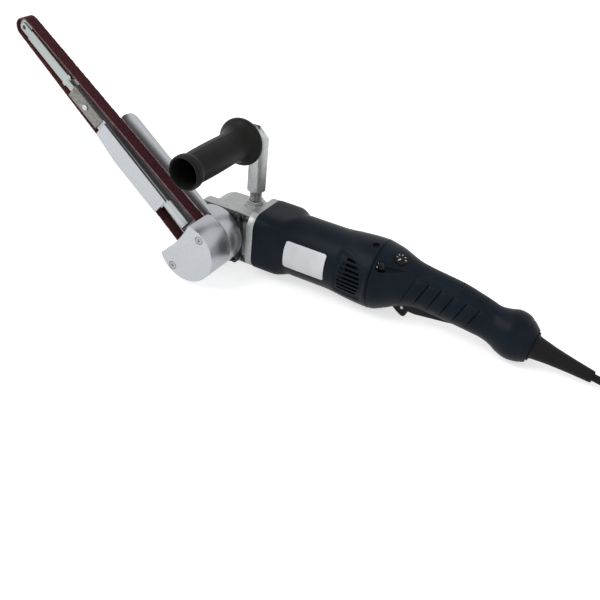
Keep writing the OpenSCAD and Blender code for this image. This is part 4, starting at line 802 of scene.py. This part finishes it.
# %% Handle loft and tools
handle_rows = [168, 168.4, 168.8] + span(169.2, 210, 0.9) + span(210.6, 282, 0.62)
handle_rows += span(283, 322, 0.8) + [323, 324, 325, 326]
handle = skin("handle", handle_rows, handle_point, around=182)
wall = 3.0
hollow = skin("hollow", span(166, 312, 4), lambda x, angle: oval_point(x, angle, wall), around=50)
boot_bore_radius = 10.55
past_end = boot_direction * (30 * mm)
boot_bore = rod(collar - boot_direction * (20 * mm), collar + past_end, boot_bore_radius)
boot_face = rod(collar, collar + past_end, 30)
paddle_start, paddle_length, paddle_half = 181, 74, 8.4
paddle_slot = box((paddle_start, -paddle_half, -60), (paddle_length, 2 * paddle_half, 55))

dial_roll = math.radians(17)
dial_pitch = math.radians(22)
dial_turn = Matrix.Rotation(dial_roll, 3, "X")
dial_x, dial_out = 187, 26
dial_seat = at(dial_x, 0, 0) + dial_turn @ Vector((0, 0, dial_out * mm))
dial_frame = dial_turn @ Matrix.Rotation(dial_pitch, 3, "Y")
dial_up = dial_frame @ Vector((0, 0, 1))
pocket_radius, hole_radius = 6.7, 2.1
pocket_foot, pocket_top = dial_seat - dial_up * (0.05 * mm), dial_seat + dial_up * (30 * mm)
dial_pocket = rod(pocket_foot, pocket_top, pocket_radius)
dial_hole = rod(dial_seat - dial_up * (20 * mm), dial_seat, hole_radius)
tools = [hollow, boot_bore, boot_face, paddle_slot, dial_pocket, dial_hole]
print("tools for the handle:", len(tools))

# %% [markdown]
# A drop-shaped hollow runs out from the near screw. Its tool is one more loft, laid along the
# flank: it is wide at the screw, and it narrows to a point.

# %% Screw hollow and cut
tail_table = [(171.2, 0.3), (172.0, 2.6), (173.4, 3.9), (175.5, 4.4), (178.0, 4.2), (184.0, 3.2),
              (191.0, 1.9), (197.0, 0.4)]
tail_z = 20.9
tail_flatness = 0.62


def flank(x, z):
    """Half the handle's width at a height."""
    half_y, half_z, middle_z = eased(handle_table, x)
    return half_y * math.sqrt(1 - ((z - middle_z) / half_z) ** 2)


def tail_point(x, angle):
    radius = eased(tail_table, x)[0]
    z = tail_z + radius * math.sin(angle)
    return at(x, -flank(x, tail_z) + tail_flatness * radius * math.cos(angle), z)


tail_rows = span(tail_table[0][0], tail_table[-1][0], 0.6)
tools.append(skin("tail", tail_rows, tail_point, around=40))
screw_bore, screw_sink = 4.05, 4.5
screw_places = ((175, 21.9, -1), (211, 11.6, 1), (261, 4.5, 1), (298, -4.6, 1))
for x, z, side in screw_places:
    side_y = flank(x, z)
    foot, top = at(x, side * (side_y - screw_sink), z), at(x, side * (side_y + 10), z)
    tools.append(rod(foot, top, screw_bore))
cut(handle, tools)
print("handle:", len(handle.data.polygons), "faces")

# %% [markdown]
# The seam of a moulded handle lies on its middle plane. A bisect keeps one side of a copy for each
# half, and it closes the cut wall with a flat face.

# %% Handle halves
for side_name, keep_near in (("near", True), ("far", False)):
    half = placed("handle_" + side_name, handle.data.copy())
    opened(half)
    bpy.ops.mesh.bisect(plane_co=at(0, 0, 0), plane_no=(0, 1, 0), use_fill=True,
                        clear_outer=keep_near, clear_inner=not keep_near)
    bpy.ops.object.mode_set(mode="OBJECT")
    settle(half, "handle_shell_" + side_name)
bpy.data.objects.remove(handle)

# %% [markdown]
# The bracket is a six-sided bar on the stud, with a slanted top and a short round arm. Its lower
# corners are turned off as on a nut. A plain bevel can't do that, because a turned corner is a
# curve on each flat. So the rounded copy of the solid is met with a round, chamfered blank: only
# what both hold stays.

# %% Handle bracket
def keep_inside(piece, blank):
    """Keeps only what lies inside a blank, and throws the blank away."""
    only(piece)
    boolean = piece.modifiers.new("turn", "BOOLEAN")
    boolean.operation = "INTERSECT"
    boolean.object = blank
    boolean.solver = "EXACT"
    bpy.ops.object.modifier_apply(modifier="turn")
    bpy.data.objects.remove(blank)
    return piece


stud_x = 25.0
bracket_foot = 43.0
blank_rings = [(bracket_foot - 0.5, 7.4), (bracket_foot + 3.6, 11.5), (bracket_foot + 12, 40),
               (140, 40)]
blank = skin("blank", blank_rings, lambda ring, angle: at(
    stud_x + ring[1] * math.cos(angle), ring[1] * math.sin(angle), ring[0]), around=96)
bracket = keep_inside(bevelled(clean_copy("handle_bracket"), 0.35), blank)
settle(bracket, "handle_bracket")

# %% [markdown]
# The side grip is one hollow moulding, round about its own axis. Its profile runs from the flat
# back of the guard over its rim, down a hollow curve into the barrel, and over the bead at the
# open end into the bore. The profile is a table of smooth stretches. A lathe could turn it, and so
# does this loft.

# %% Side grip
grip_x, grip_z = stud_x, 105.0
grip_start = 30.3
grip_length = 93.0
grip_seam = 0.4
grip_bolt_bore = 4.1
grip_back = [(0.0, 4.6), (0.0, 12.0), (0.0, 20.4), (0.25, 21.3)]
grip_outside = [
    (0.9, 21.9), (2.4, 22.4), (4.4, 22.4), (6.0, 21.9), (7.2, 21.0), (8.6, 19.6), (10.6, 18.0),
    (13.0, 16.7), (16.5, 15.5), (21.0, 14.7), (28.0, 14.4), (40.0, 14.6), (55.0, 14.7),
    (68.0, 14.5), (78.0, 14.2), (81.5, 14.2), (83.2, 14.6), (84.4, 15.4), (86.0, 15.85),
    (89.0, 15.9), (91.2, 15.7), (92.4, 15.2), (93.0, 14.5)]
grip_inside = [(92.8, 13.9), (92.0, 13.4), (90.5, 13.1), (88.0, 12.9), (60.0, 12.6), (40.2, 12.5),
               (39.4, 12.1), (39.1, 4.2)]
grip_rows = span(0.9, grip_length, 0.7)
grip_profile = grip_back + [(row, eased(grip_outside, row)[0]) for row in grip_rows] + grip_inside


def grip_point(station, angle):
    depth, radius = station
    seam = hump(math.degrees(angle) % 180 - 90, 3) * rise(14, 22, depth) * rise(83, 78, depth)
    radius += grip_seam * seam if radius > 13.2 else 0
    across, up = radius * math.cos(angle), radius * math.sin(angle)
    return at(grip_x + across, -grip_start - depth, grip_z + up)


grip = skin("grip", grip_profile, grip_point, around=128)
cut(grip, [rod(at(grip_x, 0, grip_z), at(grip_x, -80, grip_z), grip_bolt_bore)])
settle(grip, "side_grip")

# %% [markdown]
# The rating plate is a thin foil that follows the round housing. It starts as a flat grid: its
# corners are rounded by pulling each corner square into a quarter circle, and then it is wrapped
# on the tube.

# %% Rating plate
label_start, label_end = 77.5, 122.0
label_low, label_high = -20.0, 32.0
label_radius = 31.08
label_corner = 3.0
bpy.ops.mesh.primitive_grid_add(x_subdivisions=60, y_subdivisions=44, size=2)
plate = bpy.context.object
plate.name = "rating_plate"
half_x = (label_end - label_start) / 2
half_s = math.radians(label_high - label_low) * label_radius / 2


def rounded(u, v):
    """Moves a point of a rectangle so that the rectangle's corners become round."""
    flat_u, flat_v = half_x - label_corner, half_s - label_corner
    a, b = (abs(u) - flat_u) / label_corner, (abs(v) - flat_v) / label_corner
    if a > 0 and b > 0:
        a, b = a * math.sqrt(1 - b * b / 2), b * math.sqrt(1 - a * a / 2)
        u = math.copysign(flat_u + a * label_corner, u)
        v = math.copysign(flat_v + b * label_corner, v)
    return u, v


for vertex in plate.data.vertices:
    u, v = rounded(vertex.co.x * half_x, vertex.co.y * half_s)
    angle = math.radians((label_low + label_high) / 2) + v / label_radius
    vertex.co = ring_point((label_start + label_end) / 2 + u, label_radius, 2, angle)
only(plate)
foil = plate.modifiers.new("foil", "SOLIDIFY")
foil.thickness = 0.5 * mm
foil.offset = -1
bpy.ops.object.modifier_apply(modifier="foil")
settle(plate, "label_plate")

# %% [markdown]
# The stud has a rolled thread. Rings round a rod would look alike from afar, but a real thread
# climbs. So the radius of each point follows a saw-tooth that climbs one pitch in each turn.

# %% Threaded stud
stud_pitch = 1.75
stud_radius = 6.0
thread_depth = 0.85
end_chamfer = 0.8
stud_foot, stud_top = 19.6, 56.9


def stud_point(z, angle):
    share = ((z / stud_pitch - angle / (2 * math.pi)) % 1) * 2 - 1
    ends = end_chamfer * (rise(20.4, stud_foot, z) + rise(56, stud_top, z))
    radius = stud_radius - thread_depth * rise(0.1, 0.9, abs(share)) - ends
    return at(stud_x + radius * math.cos(angle), radius * math.sin(angle), z)


stud = skin("stud", span(stud_foot, stud_top, 0.22), stud_point, around=72)
settle(stud, "handle_stud")

# %% [markdown]
# The belt runs in a loop: half round the drive wheel, along the lower run, round the idler and
# back on top. A loop drawn by hand wouldn't lie tight, so it is computed from the two wheels.

# %% Belt path
wheel_centres = 264.0
big_radius, small_radius = 17.6, 8.1
belt_lean = math.asin((big_radius - small_radius) / wheel_centres)
wrap_big = math.pi + 2 * belt_lean
wrap_small = math.pi - 2 * belt_lean
straight = wheel_centres * math.cos(belt_lean)
belt_lengths = [wrap_big * big_radius, straight, wrap_small * small_radius, straight]


def belt_path(distance):
    """A point of the belt's inner face and the direction out of it, both on the arm."""
    for part, length in enumerate(belt_lengths):
        if distance <= length:
            break
        distance -= length
    if part in (0, 2):
        centre, radius = (0, big_radius) if part == 0 else (wheel_centres, small_radius)
        start = math.pi / 2 - belt_lean if part == 0 else belt_lean - math.pi / 2
        turn = start + distance / radius
        out = Vector((math.cos(turn), math.sin(turn)))
        return Vector((centre, 0)) + out * radius, out
    side = -1 if part == 1 else 1
    out = Vector((math.sin(belt_lean), side * math.cos(belt_lean)))
    along = Vector((-side * math.cos(belt_lean), math.sin(belt_lean)))
    start = out * big_radius if part == 1 else Vector((wheel_centres, 0)) + out * small_radius
    return start + along * distance, out


belt_loop = sum(belt_lengths)
print("belt loop:", round(belt_loop), "mm")

# %% [markdown]
# The belt is cloth with grit on its outside. A flat band would look like plastic, so the section
# is swept with noise: the grit side is a little uneven, and both cut edges fray by a few tenths of
# a millimetre.

# %% Belt
belt_near, belt_far = 62.5, 49.5
belt_section = [(0, 0.0), (0, 0.5)] + [(share, 1.0) for share in span(0, 1, 0.07)]
belt_section += [(1, 0.5), (1, 0.0)] + [(share, 0.0) for share in span(1, 0, -0.25)[1:-1]]
near_fray, far_fray = 0.28, 0.25
grit_relief = 0.1


def belt_point(distance, angle):
    count = len(belt_section)
    share, height = belt_section[round(angle / (2 * math.pi) * count) % count]
    place, out = belt_path(distance % belt_loop)
    depth = belt_near + (belt_far - belt_near) * share
    seed = Vector((place.x * 0.9, place.y * 0.9, depth * 0.9))
    reach = near_fray + far_fray * share * rise(60, 90, place.x)
    fray = reach * noise.noise(seed) if share in (0, 1) else 0
    grit_height = grit_relief * noise.noise(seed * 2.3) if height == 1 else 0
    place = place + out * (height + grit_height)
    return on_arm(place.x, place.y, depth + fray)


belt = skin("belt", span(0, belt_loop, 0.8), belt_point, len(belt_section), capped=False)
settle(belt, "abrasive_belt", smooth=60)

# %% [markdown]
# The arm guard is a bent plate with a wide chamfer milled along its edges. A soft rounding would
# lose the crisp light line of a milled edge, so the bevel has one flat step. A fine line near its
# lower end marks the bend, and it is cut with a thin tool that lies across the plate.

# %% Arm guard
def arm_block(along, up, depth):
    """A box on the arm from three pairs of limits in millimetres."""
    bpy.ops.mesh.primitive_cube_add(size=2)
    block = bpy.context.object
    for vertex in block.data.vertices:
        shares = [(c + 1) / 2 for c in vertex.co]
        limits = zip((along, up, depth), shares)
        vertex.co = on_arm(*(low + (high - low) * share for (low, high), share in limits))
    return faced_out(block)


guard_chamfer = 1.1
bend_line = arm_block(along=(56.0, 56.5), up=(-30, 30), depth=(65.7, 70))
guard = bevelled(clean_copy("arm_guard"), guard_chamfer, segments=1)
cut(guard, [bend_line])
settle(guard, "arm_guard", smooth=12)

# %% [markdown]
# The catch stops the paddle from being pressed by chance. It is a small claw with a rounded back
# and a hooked tip. A claw has no straight edges, so its outline is a smooth closed curve through a
# few points, filled, extruded across the handle and rounded on both faces.

# %% Lock catch
def closed_curve(corners, steps=8):
    """Points of a smooth closed curve through the corners."""
    points = []
    count = len(corners)
    for i in range(count):
        a, b, c, d = (Vector(corners[(i + k) % count]) for k in (-1, 0, 1, 2))
        for step in range(steps):
            t = step / steps
            points.append((2 * b + (c - a) * t + (2 * a - 5 * b + 4 * c - d) * t ** 2
                           + (3 * b - a - 3 * c + d) * t ** 3) / 2)
    return points


def slab(name, outline, near_y, far_y):
    """A plate between two depths from an outline of (x, z) points."""
    bpy.ops.mesh.primitive_circle_add(vertices=len(outline), fill_type="NGON")
    piece = bpy.context.object
    piece.name = name
    for vertex, place in zip(piece.data.vertices, outline):
        vertex.co = at(place.x, near_y, place.y)
    opened(piece)
    depth = (0, (far_y - near_y) * mm, 0)
    bpy.ops.mesh.extrude_region_move(TRANSFORM_OT_translate={"value": depth})
    bpy.ops.object.mode_set(mode="OBJECT")
    return faced_out(piece)


catch_corners = [
    (185.0, -25.6), (187.2, -28.4), (191.4, -31.6), (195.4, -33.9), (198.0, -34.3), (199.9, -32.8),
    (200.7, -30.2), (200.4, -27.4), (201.0, -24.6), (201.1, -21.6), (199.6, -19.1), (197.0, -18.3),
    (194.2, -19.4), (192.4, -21.4), (188.4, -23.6)]
catch_half = 4
pin_x, pin_z, pin_bore = 197, -22.5, 1.55
claw = slab("catch", closed_curve(catch_corners), -catch_half, catch_half)
catch = bevelled(claw, 0.9, segments=3, angle=50)
cut(catch, [rod(at(pin_x, -6, pin_z), at(pin_x, 6, pin_z), pin_bore)])
settle(catch, "lock_catch")

# %% [markdown]
# The rubber boot keeps the cord from kinking. A wide collar closes the end of the handle, and from
# it the boot narrows in a long hollow curve. It is turned about the cord's axis like the side
# grip.

# %% Cord boot
boot_outside = [
    (-6.0, 10.3), (0.1, 10.3), (0.15, 13.6), (0.4, 14.1), (1.3, 14.1), (1.7, 13.7), (1.9, 12.2),
    (3.0, 11.2), (5.0, 10.8), (9.0, 10.2), (14.0, 9.4), (20.0, 8.6), (28.0, 7.8), (38.0, 6.9),
    (48.0, 6.2), (55.5, 5.75), (57.4, 5.5), (58.0, 5.0), (58.0, 3.7)]
boot_side = Vector((0, 1, 0))
boot_top = boot_direction.cross(boot_side)


def boot_point(station, angle):
    along, radius = station
    outward = boot_side * math.cos(angle) + boot_top * math.sin(angle)
    return collar + (boot_direction * along + outward * radius) * mm


boot = skin("boot", boot_outside, boot_point, around=72)
settle(boot, "cord_boot", smooth=40)

# %% [markdown]
# The speed dial has pale marks on its face: a pointer and a row of ticks that grow with the speed.
# They could be painted, but raised marks stay crisp in any light. One bar is modelled for each
# mark from a cube, its end is narrowed, and all the bars are joined and given broken edges.

# %% Dial marks
dial_height = 4.6
dial_face = dial_seat + dial_up * dial_height * mm
dial_ahead = dial_frame @ Vector((1, 0, 0))
dial_aside = dial_up.cross(dial_ahead)
mark_height = 0.18
mark_sunk = 0.9
mark_angles = [190, 145, 100, 55, 10]
pointer_angle = 245
marks = []


def dial_mark(angle, inner, outer, width, narrow):
    """A raised bar on the dial's face, narrowed at its outer end."""
    bpy.ops.mesh.primitive_cube_add(size=2)
    bar = bpy.context.object
    ray = dial_ahead * math.cos(math.radians(angle)) + dial_aside * math.sin(math.radians(angle))
    across = dial_up.cross(ray)
    for vertex in bar.data.vertices:
        out, side, high = vertex.co
        half = width / 2 * (narrow if out > 0 else 1)
        reach = outer if out > 0 else inner
        lift = (high + mark_sunk) / 2 * mark_height
        vertex.co = dial_face + (ray * reach + across * side * half + dial_up * lift) * mm
    return bar


marks.append(dial_mark(pointer_angle, inner=0.8, outer=4.6, width=1.1, narrow=0.4))
for index, angle in enumerate(mark_angles):
    marks.append(dial_mark(angle, inner=3.4, outer=5.2, width=0.3 + 0.1 * index, narrow=0.9))
for mark in marks:
    mark.select_set(True)
bpy.context.view_layer.objects.active = marks[0]
bpy.ops.object.join()
dial_marks = bevelled(bpy.context.object, 0.05)
dial_marks.name = "dial_marks"
dress(dial_marks, "label")
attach(dial_marks, "dial")
print("dial marks:", len(marks))

# %% [markdown]
# The cord is soft, so the solids only mark where it lies. The curve stands for them, so they are
# hidden, and it rides on the motor's body.

dress(mains_cord, "cord_jacket")
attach(mains_cord, "motor_body")
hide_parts("cord_lead", "cord_coil")
print("the cord leaves the boot at", [round(c, 3) for c in boot_end])
